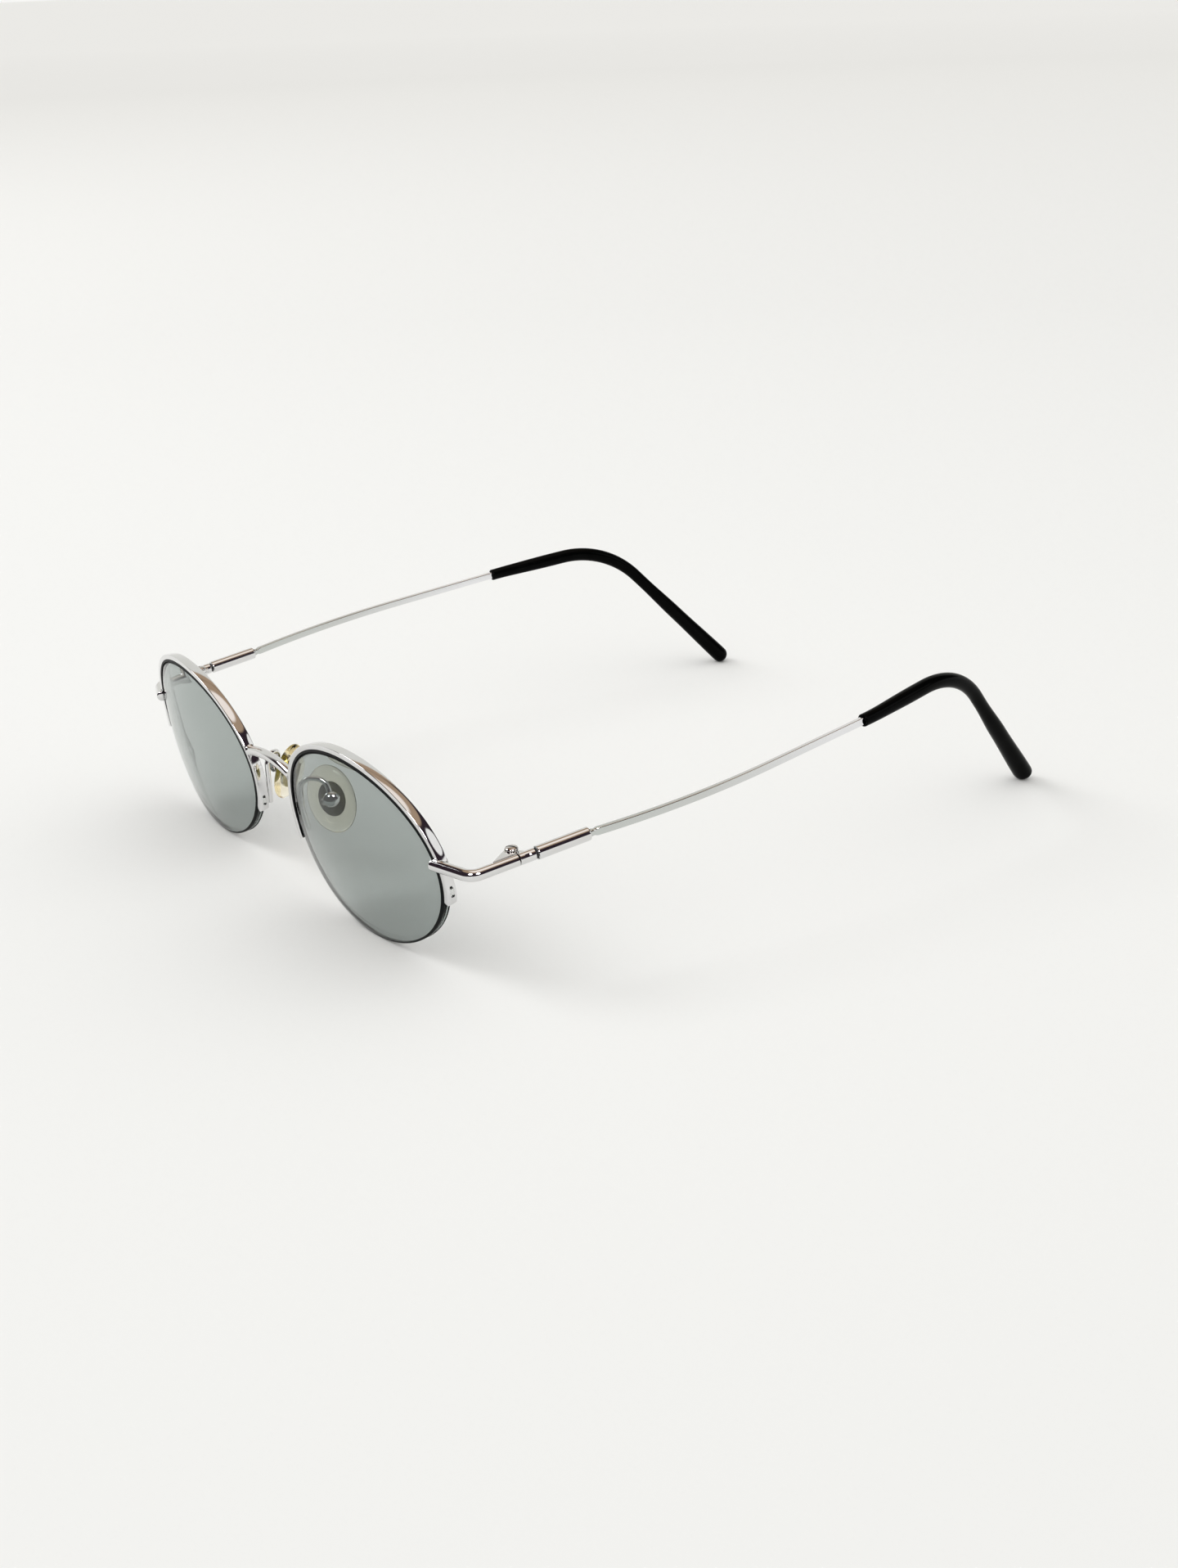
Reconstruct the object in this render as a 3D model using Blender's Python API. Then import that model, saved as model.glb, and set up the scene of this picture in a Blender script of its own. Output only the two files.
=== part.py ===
"""Tinted half-rim eyeglasses, in metres, standing open on z = 0.

The lenses face -Y and the temples run back along +Y. Left and right are the wearer's, so the left
side is at +X. Each side is modelled once, on the left, and mirrored for the right. Up to the last
step y = 0 is at the middle of the lens fronts. The last step puts the origin under the middle.
"""

import math

import bmesh
import bpy
from mathutils import Matrix, Vector

# Lens
LENS_WIDTH = 0.0460
LENS_HEIGHT = 0.0334
LENS_THICKNESS = 0.0016
LENS_CURVE_RADIUS = 0.0710
NOSE_GAP = 0.0169
LENS_WRAP = 3.8
LENS_TILT = 6.9
LENS_STEP = 7.5
LENS_BAND_SHARES = (0.35, 0.70)

# Groove round the lens, and the seats that hold the lens in the rim
GROOVE_WIDTH = 0.00070
GROOVE_DEPTH = 0.00050
SOLDER_GAP = 0.00005
FIT_GAP = 0.00005
RUNNING_GAP = 0.00006

# Half rim, a grooved wire over the top of the lens
RIM_STANDOFF = 0.00045
RIM_WALL = 0.00095
RIM_DEPTH = 0.00190
RIM_CHAMFER = 0.00025
RIM_GROOVE_DEPTH = 0.00040
RIM_TEMPLE_END = -10.3
RIM_NOSE_END = 199.7
RIM_STEPS = 28
LUG_LENGTH = 11.0
LUG_RAMP = 3.0
LUG_SWELL = 0.00020

# Nylon line through two holes in each lug and round the bottom of the lens
LINE_RADIUS = 0.00022
LINE_SIDES = 6
LINE_HOLE_RADIUS = 0.00029
LINE_HOLE_FROM_END = 5.0
LINE_HOLE_PITCH = 4.6
LINE_BEND = 0.00032
LINER_END_GAP = 2.5

# Bridge
BRIDGE_RADIUS = 0.00092
BRIDGE_ANGLE = 161.5
BRIDGE_RISE = 0.0010
BRIDGE_STEPS = 10
BRIDGE_SIDES = 12

# Endpiece, a round rod from the rim's front round the corner to the hinge
ROD_RADIUS = 0.00102
ROD_SIDES = 16
ROD_ANGLE = 14.0
ROD_START_INSIDE = 0.00015
ROD_PROUD = 0.00058
ROD_REACH = 0.00775
ROD_SWEEP = 0.00280
ROD_DROP = 0.00040
ROD_RUN = 0.00850
ROD_BEND = 0.0026
TEMPLE_FLARE = 3.0
TEMPLE_RISE = 5.6

# Hinge, measured from its screw's axis
HINGE_OFFSET = 0.00190
SEAM_GAP = 0.00020
SEAM_CHAMFER = 0.00012
EAR_RADIUS = 0.00115
EAR_THICKNESS = 0.00058
EAR_LENGTH = 0.0045
EAR_CUT_BACK = 3.0
EYE_THICKNESS = 0.00100
EYE_SLOT_GAP = 0.00008
EYE_SWING_GAP = 0.00010
HINGE_WEB = 0.0012
SCREW_RADIUS = 0.00050
SCREW_HEAD_RADIUS = 0.00115
SCREW_HEAD_HEIGHT = 0.00055
SCREW_SLOT_WIDTH = 0.00030
SCREW_SLOT_DEPTH = 0.00025
SCREW_SLOT_TURN = 35.0
SCREW_HEAD_PROFILE = ((1.0, 0.0), (1.0, 0.35), (0.85, 0.72), (0.50, 0.95))

# Sprung sleeve that joins the temple to the hinge
STUB_LENGTH = 0.00285
EYE_NECK_LENGTH = 0.00235
STUB_SLOT_LENGTH = 0.00110
STUB_SLOT_WIDTH = 0.00042
STUB_SLOT_DEPTH = 0.00030
STUB_SLOT_TURN = 50.0
SLEEVE_GAP = 0.00045
SLEEVE_RADIUS = 0.00118
SLEEVE_LENGTH = 0.00980
SLEEVE_BORE = 0.00090
SLEEVE_END_WALL = 0.00085
SLEEVE_CHAMFER = 0.00012
PLUNGER_RADIUS = 0.00045
PLUNGER_LENGTH = 0.00740
BUSH_LENGTH = 0.00100
NUT_LENGTH = 0.00100
NUT_RADIUS = 0.00078
SPRING_WIRE_RADIUS = 0.00011
SPRING_TURNS = 6
SPRING_POINTS_PER_TURN = 8
FLEX_TRAVEL = 0.0012

# Temple wire and tip
TENON_RADIUS = 0.00044
NECK_RADIUS = 0.00066
NECK_LENGTH = 0.00085
NECK_WAIST_RADIUS = 0.00057
NECK_RAMP = 0.00050
TENON_HEAD_RADIUS = 0.00060
TENON_HEAD_LENGTH = 0.00060
BLADE_HEIGHT = 0.00138
BLADE_THICKNESS = 0.00096
BLADE_CHAMFER = 0.00020
BOW_START_ANGLE = 7.2
BOW_LEAD = 0.00059
BOW_RADIUS = 0.135
STRAIGHT_ANGLE = 8.0
TIP_START = 0.0405
TIP_CORNER_FROM_MOUTH = 0.0030
TIP_CORNER_RADIUS = 0.050
TIP_ANGLE = 13.5
EAR_CORNER_LENGTH = 0.02505
EAR_BEND_RADIUS = 0.0210
LEG_INWARD = 22.7
LEG_DOWN = 52.1
CORE_RADIUS = 0.00050
CORE_END = 0.0120
TIP_FRONT_RADIUS = 0.00118
TIP_SWELL_RADIUS = 0.00140
TIP_WAIST_RADIUS = 0.00128
TIP_END_HALF_WIDTH = 0.00175
TIP_END_HALF_THICKNESS = 0.00200
TIP_SIDES = 12
TIP_FRONT_ROUND = 0.00022
TIP_STATIONS = (0.03, 0.07, 0.12, 0.2, 0.3, 0.68, 0.76, 0.83, 0.89, 0.95)
TIP_END_STATIONS = (0.35, 0.62, 0.82, 0.95)
TIP_SWELL = (0.22, 0.38)
TIP_WAIST = 0.60
TIP_FLARE = 0.76
TIP_FLARE_WIDER = 0.00022
TIP_FLARE_THICKER = 0.00040

# Nose pads and what carries them
PAD_INSET = 0.00025
PAD_BEHIND = 0.00565
PAD_ABOVE = 0.0003
PAD_SPLAY = 27.0
PAD_FLARE = 20.0
PAD_LEAN = 13.0
PAD_HEIGHT = 0.0124
PAD_WIDTH = 0.0080
PAD_THICKNESS = 0.0016
PAD_SEAT_DEPTH = 0.00064
PAD_PROFILE = ((0.93, 0.58), (0.80, 0.82), (0.55, 0.96), (0.32, 1.0), (0.12, 0.97), (0.0, 0.88))
PAD_SIDES = 28
PAD_PIVOT_HEIGHT = 0.0026
INSERT_HEIGHT = 0.0064
INSERT_WIDTH = 0.0045
INSERT_THICKNESS = 0.00065
TONGUE_THICKNESS = 0.00084
TONGUE_HALF_HEIGHT = 0.00085
BOX_RADIUS = 0.0014
BOX_FRONT = 0.0011
BOX_BACK = 0.0011
BOX_DOME = 0.0006
BOX_DOME_PROFILE = ((1.0, 0.0), (0.86, 0.50), (0.50, 0.88))
BOX_WALL = 0.00025
PAD_SCREW_RADIUS = 0.00035
PAD_SCREW_HEAD_RADIUS = 0.00062
PAD_SCREW_HEAD_HEIGHT = 0.00038
PAD_SCREW_HEAD_PROFILE = ((0.72, 1.0), (1.0, 0.55), (1.0, 0.0))
PAD_SCREW_END_INSET = 0.00006
PAD_SCREW_SLOT_WIDTH = 0.00022
PAD_SCREW_SLOT_DEPTH = 0.00015
PAD_SEAT_INSET = 0.00012
ARM_RADIUS = 0.00048
ARM_SIDES = 8
ARM_FOOT_ANGLE = 197.0
ARM_LEG_ANGLE = 184.0
ARM_DROP = 0.00235
ARM_ARCH_SLOPE = 0.0006
ARM_ARCH_BEND = 0.00150
ARM_LEG_BEND = 0.0040
PAD_ROCK = 12.0

SIDES = (("left", 1), ("right", -1))
MIRROR = Matrix.Diagonal((-1, 1, 1, 1))
ARC_STEP = 9.0
THIN_ARC_STEP = 22.5
ARC_LONGEST_CHORD = 0.0042
OVERCUT = 0.0005

# Colour, roughness and metallic value
FINISHES = {
    "chrome": ((0.80, 0.81, 0.83), 0.10, 1.0),
    "steel": ((0.62, 0.62, 0.64), 0.25, 1.0),
    "tinted_lens": ((0.45, 0.50, 0.49), 0.05, 0.0),
    "clear_line": ((0.80, 0.82, 0.80), 0.20, 0.0),
    "rim_liner": ((0.02, 0.02, 0.025), 0.45, 0.0),
    "silicone": ((0.85, 0.78, 0.60), 0.25, 0.0),
    "pad_core": ((0.42, 0.36, 0.16), 0.35, 0.0),
    "black_tip": ((0.01, 0.01, 0.012), 0.15, 0.0),
}


# Scene and materials


def clear_scene():
    for obj in list(bpy.data.objects):
        bpy.data.objects.remove(obj, do_unlink=True)


def finish_material(name):
    found = bpy.data.materials.get(name)
    if found:
        return found
    colour, roughness, metallic = FINISHES[name]
    material = bpy.data.materials.new(name)
    material.use_nodes = True
    shader = material.node_tree.nodes["Principled BSDF"]
    shader.inputs["Base Color"].default_value = (*colour, 1.0)
    shader.inputs["Roughness"].default_value = roughness
    shader.inputs["Metallic"].default_value = metallic
    return material


def add_piece(bm, name, finish, frame=None, side=1, sharp_angle=38.0):
    """Makes the mesh an object at its frame, or at the mirrored frame for the other side."""
    frame = frame or Matrix.Identity(4)
    bmesh.ops.recalc_face_normals(bm, faces=bm.faces)
    if side < 0:
        bmesh.ops.transform(bm, matrix=MIRROR, verts=bm.verts)
        bmesh.ops.reverse_faces(bm, faces=bm.faces)
        frame = MIRROR @ frame @ MIRROR
    mesh = bpy.data.meshes.new(name)
    bm.to_mesh(mesh)
    bm.free()
    mesh.shade_smooth()
    mesh.set_sharp_from_angle(angle=math.radians(sharp_angle))
    mesh.materials.append(finish_material(finish))
    piece = bpy.data.objects.new(name, mesh)
    piece.matrix_world = frame
    bpy.context.scene.collection.objects.link(piece)
    return piece


# Shapes


def skin(rings, loop=False, start=None, end=None):
    """Joins rings of points by quads. An end is a flat face, or a fan when a point is given."""
    bm = bmesh.new()
    made = [[bm.verts.new(point) for point in ring] for ring in rings]
    count = len(rings[0])
    pairs = list(zip(made, made[1:]))
    if loop:
        pairs.append((made[-1], made[0]))
    for near, far in pairs:
        for i in range(count):
            j = (i + 1) % count
            bm.faces.new((near[i], near[j], far[j], far[i]))
    if not loop:
        for ring, tip in ((made[0], start), (made[-1], end)):
            if tip is None:
                bm.faces.new(ring)
                continue
            apex = bm.verts.new(tip)
            for i in range(count):
                bm.faces.new((ring[i], ring[(i + 1) % count], apex))
    bmesh.ops.recalc_face_normals(bm, faces=bm.faces)
    return bm


def turned(profile, sides, axis="Y", centre=(0, 0, 0), loop=False):
    """Turns a profile of (radius, place on the axis) round the axis. Radius 0 ends in a point."""
    turn = {
        "X": Matrix(((0, 1, 0), (0, 0, 1), (1, 0, 0))).transposed(),
        "Y": Matrix(((1, 0, 0), (0, 0, 1), (0, 1, 0))),
        "Z": Matrix.Identity(3),
    }[axis]
    centre = Vector(centre)
    apexes = [centre + turn @ Vector((0, 0, place)) for radius, place in profile if radius == 0]
    rings = []
    for radius, place in profile:
        if radius == 0:
            continue
        ring = []
        for i in range(sides):
            angle = 2 * math.pi * (i + 0.5) / sides
            ring.append(centre + turn @ Vector((radius * math.cos(angle), radius * math.sin(angle), place)))
        rings.append(ring)
    start = apexes[0] if profile[0][0] == 0 else None
    end = apexes[-1] if profile[-1][0] == 0 else None
    return skin(rings, loop=loop, start=start, end=end)


def block(low, high):
    low = Vector(low)
    high = Vector(high)
    bm = bmesh.new()
    bmesh.ops.create_cube(bm, size=1.0)
    bmesh.ops.scale(bm, vec=high - low, verts=bm.verts)
    bmesh.ops.translate(bm, vec=(low + high) / 2, verts=bm.verts)
    return bm


def prism(outline, low, high):
    """An outline of (x, y) points, pulled up from z = low to z = high."""
    rings = [[Vector((x, y, z)) for x, y in outline] for z in (low, high)]
    return skin(rings)


def moved(bm, matrix):
    bmesh.ops.transform(bm, matrix=matrix, verts=bm.verts)
    return bm


def scratch_object(bm):
    mesh = bpy.data.meshes.new("scratch")
    bm.to_mesh(mesh)
    bm.free()
    obj = bpy.data.objects.new("scratch", mesh)
    bpy.context.scene.collection.objects.link(obj)
    return obj


def combined(body, tool, operation):
    """The solid that a Boolean makes of two solids. Both are used up."""
    target = scratch_object(body)
    other = scratch_object(tool)
    modifier = target.modifiers.new("Boolean", "BOOLEAN")
    modifier.object = other
    modifier.operation = operation
    modifier.solver = "EXACT"
    graph = bpy.context.evaluated_depsgraph_get()
    result = bmesh.new()
    result.from_mesh(target.evaluated_get(graph).to_mesh())
    for obj in (target, other):
        mesh = obj.data
        bpy.data.objects.remove(obj)
        bpy.data.meshes.remove(mesh)
    return result


def cut(body, tool):
    return combined(body, tool, "DIFFERENCE")


def joined(body, other):
    return combined(body, other, "UNION")


class Route:
    """A line of straight runs, with an arc of its own radius at each corner."""

    def __init__(self, corners, radii, arc_step=ARC_STEP):
        corners = [Vector(corner) for corner in corners]
        self.points = [corners[0]]
        for before, corner, after, radius in zip(corners, corners[1:], corners[2:], radii):
            self.points += self.arc(before, corner, after, radius, arc_step)
        self.points.append(corners[-1])
        self.marks = [0.0]
        for near, far in zip(self.points, self.points[1:]):
            self.marks.append(self.marks[-1] + (far - near).length)
        self.length = self.marks[-1]

    @staticmethod
    def arc(before, corner, after, radius, arc_step):
        arriving = (corner - before).normalized()
        leaving = (after - corner).normalized()
        turn = arriving.angle(leaving)
        if radius == 0 or turn < 1e-6:
            return [corner]
        reach = radius * math.tan(turn / 2)
        steps = math.ceil(max(turn / math.radians(arc_step), radius * turn / ARC_LONGEST_CHORD))
        inward = (leaving - arriving * arriving.dot(leaving)).normalized()
        start = corner - arriving * reach
        points = []
        for i in range(steps + 1):
            angle = turn * i / steps
            along = arriving * radius * math.sin(angle)
            across = inward * radius * (1 - math.cos(angle))
            points.append(start + along + across)
        return points

    def at(self, distance):
        """The point and the direction at a distance along the line."""
        last = len(self.points) - 2
        i = 0
        while i < last and self.marks[i + 1] < distance:
            i += 1
        near, far = self.points[i], self.points[i + 1]
        direction = (far - near).normalized()
        point = near + direction * (distance - self.marks[i])
        for k in (i, i + 1):
            if 0 < k <= last and abs(distance - self.marks[k]) < 1e-9:
                before = (self.points[k] - self.points[k - 1]).normalized()
                after = (self.points[k + 1] - self.points[k]).normalized()
                direction = (before + after).normalized()
        return point, direction

    def stations(self, start, end, extra=()):
        """The distances of the line's own points between start and end, with extra ones."""
        inner = [m for m in (*self.marks, *extra) if start + 1e-5 < m < end - 1e-5]
        kept = [start]
        for mark in sorted(inner):
            if mark - kept[-1] > 1e-5:
                kept.append(mark)
        return [*kept, end]


def swept(route, distances, outlines, up=None):
    """Rings of points along a route. With no up direction the rings turn as little as they can."""
    rings = []
    side = None
    for distance, outline in zip(distances, outlines):
        point, direction = route.at(distance)
        if up is not None:
            side = direction.cross(Vector(up)).normalized()
        elif side is None:
            side = direction.orthogonal().normalized()
        else:
            side = (side - direction * side.dot(direction)).normalized()
        lift = side.cross(direction)
        rings.append([point + side * a + lift * b for a, b in outline])
    return rings


def circle(radius, sides, flatten=1.0):
    """Points of a circle, or of an ellipse whose first half axis is the radius times flatten."""
    turns = [2 * math.pi * (i + 0.5) / sides for i in range(sides)]
    return [(radius * flatten * math.cos(a), radius * math.sin(a)) for a in turns]


def mitred(ring, direction, point, normal):
    """The ring slid along a direction until it lies in the plane through the point."""
    return [p + direction * ((point - p).dot(normal) / direction.dot(normal)) for p in ring]


def round_wire(route, radius, sides, end_normal=None):
    """A round wire. Its end is square, or cut to a plane when that plane's normal is given."""
    distances = route.stations(0.0, route.length)
    rings = swept(route, distances, [circle(radius, sides)] * len(distances))
    if end_normal is not None:
        end, direction = route.at(route.length)
        rings[-1] = mitred(rings[-1], direction, end, end_normal)
    return skin(rings)


# Frames that the pieces are placed by


def lens_sag(x, z):
    return (x * x + z * z) / (2 * LENS_CURVE_RADIUS)


def lens_edge(angle, outward=0.0, depth=0.0):
    """A point by the lens's edge: outward from the edge, and back from its front corner."""
    turn = math.radians(angle)
    x = LENS_WIDTH / 2 * math.cos(turn)
    z = LENS_HEIGHT / 2 * math.sin(turn)
    normal = Vector((math.cos(turn) / LENS_WIDTH, 0, math.sin(turn) / LENS_HEIGHT)).normalized()
    return Vector((x, lens_sag(x, z) + depth, z)) + normal * outward


def lens_normal(angle):
    return (lens_edge(angle, 1.0) - lens_edge(angle)).normalized()


def lens_frame():
    """The left lens's frame: its front's middle, wrapped round the face and tilted at the top."""
    turn = Matrix.Rotation(math.radians(LENS_WRAP), 4, "Z") @ Matrix.Rotation(math.radians(LENS_TILT), 4, "X")
    lowest = min((turn @ lens_edge(angle)).z for angle in range(180, 361))
    return Matrix.Translation(((LENS_WIDTH + NOSE_GAP) / 2, 0, -lowest)) @ turn


def rod_route():
    """The endpiece's middle line: along the rim's front, round the corner and back to the seam."""
    frame = lens_frame()
    start = frame @ lens_edge(ROD_ANGLE, -ROD_START_INSIDE, -ROD_PROUD)
    corner = start + Vector((ROD_REACH, ROD_SWEEP, -ROD_DROP))
    seam = corner + temple_turn() @ Vector((0, ROD_RUN, 0))
    return Route((start, corner, seam), (ROD_BEND,))


def temple_turn():
    flare = Matrix.Rotation(-math.radians(TEMPLE_FLARE), 4, "Z")
    return flare @ Matrix.Rotation(math.radians(TEMPLE_RISE), 4, "X")


def hinge_frame():
    """At the hinge screw: X outward, Y along the sleeve, Z up the screw."""
    turn = temple_turn()
    seam = rod_route().points[-1]
    return Matrix.Translation(seam + turn @ Vector((-HINGE_OFFSET, 0, 0))) @ turn


def pad_frame():
    """At the pad screw: X away from the nose, Y along the screw to the back, Z up the pad."""
    splay = math.radians(PAD_SPLAY)
    flare = math.radians(PAD_FLARE)
    lean = Matrix.Rotation(math.radians(PAD_LEAN), 4, "X")
    outward = Vector((math.cos(flare) * math.cos(splay), -math.cos(flare) * math.sin(splay), math.sin(flare)))
    back = Vector((math.sin(splay), math.cos(splay), 0))
    turn = Matrix((outward, back, outward.cross(back))).transposed().to_4x4()
    lens_height = lens_frame().translation.z
    nose_edge = lens_frame() @ lens_edge(180, 0, LENS_THICKNESS)
    middle = Vector((NOSE_GAP / 2 + PAD_INSET, nose_edge.y + PAD_BEHIND, lens_height + PAD_ABOVE))
    return Matrix.Translation(middle + outward * PAD_PIVOT_HEIGHT) @ turn @ lean


# Front


def make_lens(side_name, side):
    middle = LENS_THICKNESS / 2
    half = GROOVE_WIDTH / 2
    section = [(share, 0.0, 0.0) for share in LENS_BAND_SHARES]
    section += [
        (1.0, 0.0, 0.0),
        (1.0, 0.0, middle - half),
        (1.0, -GROOVE_DEPTH, middle - half),
        (1.0, -GROOVE_DEPTH, middle + half),
        (1.0, 0.0, middle + half),
        (1.0, 0.0, LENS_THICKNESS),
    ]
    section += [(share, 0.0, LENS_THICKNESS) for share in reversed(LENS_BAND_SHARES)]
    turns = [LENS_STEP * i + RIM_TEMPLE_END for i in range(round(360 / LENS_STEP))]
    rings = []
    for share, outward, depth in section:
        ring = []
        for angle in turns:
            point = lens_edge(angle, outward, depth)
            if share < 1.0:
                x, z = point.x * share, point.z * share
                point = Vector((x, lens_sag(x, z) + depth, z))
            ring.append(point)
        rings.append(ring)
    bm = skin(rings, start=Vector((0, 0, 0)), end=Vector((0, LENS_THICKNESS, 0)))
    add_piece(bm, f"lens_{side_name}", "tinted_lens", lens_frame(), side)


def lug_share(angle):
    """0 on the rim, 1 on a lug, and between them on the ramp."""
    from_end = min(angle - RIM_TEMPLE_END, RIM_NOSE_END - angle)
    return min(1.0, max(0.0, (LUG_LENGTH - from_end) / LUG_RAMP))


def rim_front():
    return (LENS_THICKNESS - RIM_DEPTH) / 2


def rim_section(angle):
    front = rim_front()
    back = front + RIM_DEPTH
    middle = LENS_THICKNESS / 2
    half = GROOVE_WIDTH / 2
    outer = RIM_STANDOFF + RIM_WALL + LUG_SWELL * lug_share(angle)
    floor = RIM_STANDOFF + RIM_GROOVE_DEPTH
    return [
        (RIM_STANDOFF, front),
        (outer - RIM_CHAMFER, front),
        (outer, front + RIM_CHAMFER),
        (outer, back - RIM_CHAMFER),
        (outer - RIM_CHAMFER, back),
        (RIM_STANDOFF, back),
        (RIM_STANDOFF, middle + half),
        (floor, middle + half),
        (floor, middle - half),
        (RIM_STANDOFF, middle - half),
    ]


def line_hole_angles(nose):
    """The lug's two hole angles, the one nearer the end of the lug first."""
    if nose:
        first = RIM_NOSE_END - LINE_HOLE_FROM_END
        return first, first - LINE_HOLE_PITCH
    first = RIM_TEMPLE_END + LINE_HOLE_FROM_END
    return first, first + LINE_HOLE_PITCH


def radial_hole(angle, radius, start, end):
    """A round cutter along the rim's normal, from one distance outside the lens edge to another."""
    normal = lens_normal(angle)
    place = lens_edge(angle, 0.0, LENS_THICKNESS / 2)
    turn = Vector((0, 0, 1)).rotation_difference(normal).to_matrix().to_4x4()
    cutter = turned([(radius, start), (radius, end)], 10, "Z")
    return moved(cutter, Matrix.Translation(place) @ turn)


def make_half_rim(side_name, side):
    span = RIM_NOSE_END - RIM_TEMPLE_END
    rings = []
    for i in range(RIM_STEPS + 1):
        angle = RIM_TEMPLE_END + span * i / RIM_STEPS
        rings.append([lens_edge(angle, outward, depth) for outward, depth in rim_section(angle)])
    bm = skin(rings)
    outside = RIM_STANDOFF + RIM_WALL + LUG_SWELL + OVERCUT
    for nose in (False, True):
        for angle in line_hole_angles(nose):
            hole = radial_hole(angle, LINE_HOLE_RADIUS, RIM_STANDOFF + RIM_GROOVE_DEPTH / 2, outside)
            bm = cut(bm, hole)
    add_piece(bm, f"half_rim_{side_name}", "chrome", lens_frame(), side)


def make_rim_liner(side_name, side):
    """The strip between lens and rim. Its ribs sit in the lens's groove and in the rim's."""
    middle = LENS_THICKNESS / 2
    rib = GROOVE_WIDTH / 2 - FIT_GAP
    half = LENS_THICKNESS / 2 - FIT_GAP
    inside = FIT_GAP
    outside = RIM_STANDOFF - FIT_GAP
    rib_in = -GROOVE_DEPTH + FIT_GAP
    rib_out = RIM_STANDOFF + RIM_GROOVE_DEPTH - FIT_GAP
    section = [
        (inside, middle - half),
        (outside, middle - half),
        (outside, middle - rib),
        (rib_out, middle - rib),
        (rib_out, middle + rib),
        (outside, middle + rib),
        (outside, middle + half),
        (inside, middle + half),
        (inside, middle + rib),
        (rib_in, middle + rib),
        (rib_in, middle - rib),
        (inside, middle - rib),
    ]
    first = max(line_hole_angles(False)) + LINER_END_GAP
    last = min(line_hole_angles(True)) - LINER_END_GAP
    own = [RIM_TEMPLE_END + LENS_STEP * i for i in range(RIM_STEPS + 1)]
    angles = [first, *(a for a in own if first + 1 < a < last - 1), last]
    rings = [[lens_edge(a, outward, depth) for outward, depth in section] for a in angles]
    add_piece(skin(rings), f"rim_liner_{side_name}", "rim_liner", lens_frame(), side)


def make_nylon_line(side_name, side):
    depth = LENS_THICKNESS / 2
    in_rim = RIM_STANDOFF + RIM_GROOVE_DEPTH / 2
    in_lens = -GROOVE_DEPTH + LINE_RADIUS + FIT_GAP
    outside = RIM_STANDOFF + RIM_WALL + LUG_SWELL + LINE_RADIUS + FIT_GAP
    low_hole, high_hole = line_hole_angles(False)
    nose_low, nose_high = line_hole_angles(True)
    corners = [lens_edge(high_hole, in_rim, depth), lens_edge(high_hole, outside, depth)]
    corners += [lens_edge(low_hole, outside, depth), lens_edge(low_hole, in_lens, depth)]
    radii = [LINE_BEND] * 3
    round_angle = low_hole - LENS_STEP
    while round_angle > nose_low - 360 + LENS_STEP / 2:
        corners.append(lens_edge(round_angle, in_lens, depth))
        radii.append(0.0)
        round_angle -= LENS_STEP
    corners += [lens_edge(nose_low, in_lens, depth), lens_edge(nose_low, outside, depth)]
    corners += [lens_edge(nose_high, outside, depth), lens_edge(nose_high, in_rim, depth)]
    radii += [LINE_BEND] * 3
    bm = round_wire(Route(corners, radii, THIN_ARC_STEP), LINE_RADIUS, LINE_SIDES)
    add_piece(bm, f"nylon_line_{side_name}", "clear_line", lens_frame(), side)


def make_bridge():
    """An arched wire between the rims, with each end cut to the rim's outer face."""
    frame = lens_frame()
    middle = LENS_THICKNESS / 2
    seat = frame @ lens_edge(BRIDGE_ANGLE, RIM_STANDOFF + RIM_WALL + SOLDER_GAP, middle)
    normal = frame.to_3x3() @ lens_normal(BRIDGE_ANGLE)
    points = []
    for i in range(BRIDGE_STEPS + 1):
        share = 2 * i / BRIDGE_STEPS - 1
        points.append(Vector((seat.x * share, seat.y, seat.z + BRIDGE_RISE * (1 - share * share))))
    route = Route(points, [0.0] * (BRIDGE_STEPS - 1))
    distances = route.stations(0.0, route.length)
    rings = swept(route, distances, [circle(BRIDGE_RADIUS, BRIDGE_SIDES)] * len(distances), up=(0, 0, 1))
    for index, sign in ((0, -1), (-1, 1)):
        point, direction = route.at(0.0 if sign < 0 else route.length)
        rings[index] = mitred(rings[index], direction, point, Vector((normal.x * sign, normal.y, normal.z)))
    add_piece(skin(rings), "bridge", "chrome")


def rim_envelope(first, steps):
    """The space of the rim and the lens over a few steps, with the solder gap round it."""
    front = rim_front() - SOLDER_GAP
    outer = RIM_STANDOFF + RIM_WALL + SOLDER_GAP
    section = [(-0.004, front), (outer, front), (outer, front + 0.006), (-0.004, front + 0.006)]
    rings = []
    for i in range(steps + 1):
        rings.append([lens_edge(first + LENS_STEP * i, outward, depth) for outward, depth in section])
    return moved(skin(rings), lens_frame())


def eye_clearance():
    """The space in which the temple's eye turns, cut out of the endpiece's end."""
    half = EYE_THICKNESS / 2 + EYE_SLOT_GAP
    radius = EAR_RADIUS + EYE_SWING_GAP
    return moved(turned([(radius, -half), (radius, half)], 24, "Z"), hinge_frame())


def make_endpiece(side_name, side):
    route = rod_route()
    end = route.length - SEAM_GAP / 2
    distances = route.stations(0.0, end - SEAM_CHAMFER) + [end]
    outlines = [circle(ROD_RADIUS, ROD_SIDES)] * (len(distances) - 1)
    outlines.append(circle(ROD_RADIUS - SEAM_CHAMFER, ROD_SIDES))
    bm = skin(swept(route, distances, outlines, up=(0, 0, 1)))
    bm = cut(bm, rim_envelope(RIM_TEMPLE_END + LENS_STEP, 5))
    bm = cut(bm, eye_clearance())
    frame = hinge_frame()
    add_piece(moved(bm, frame.inverted()), f"endpiece_{side_name}", "chrome", frame, side)


# Hinge, in the hinge frame


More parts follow.
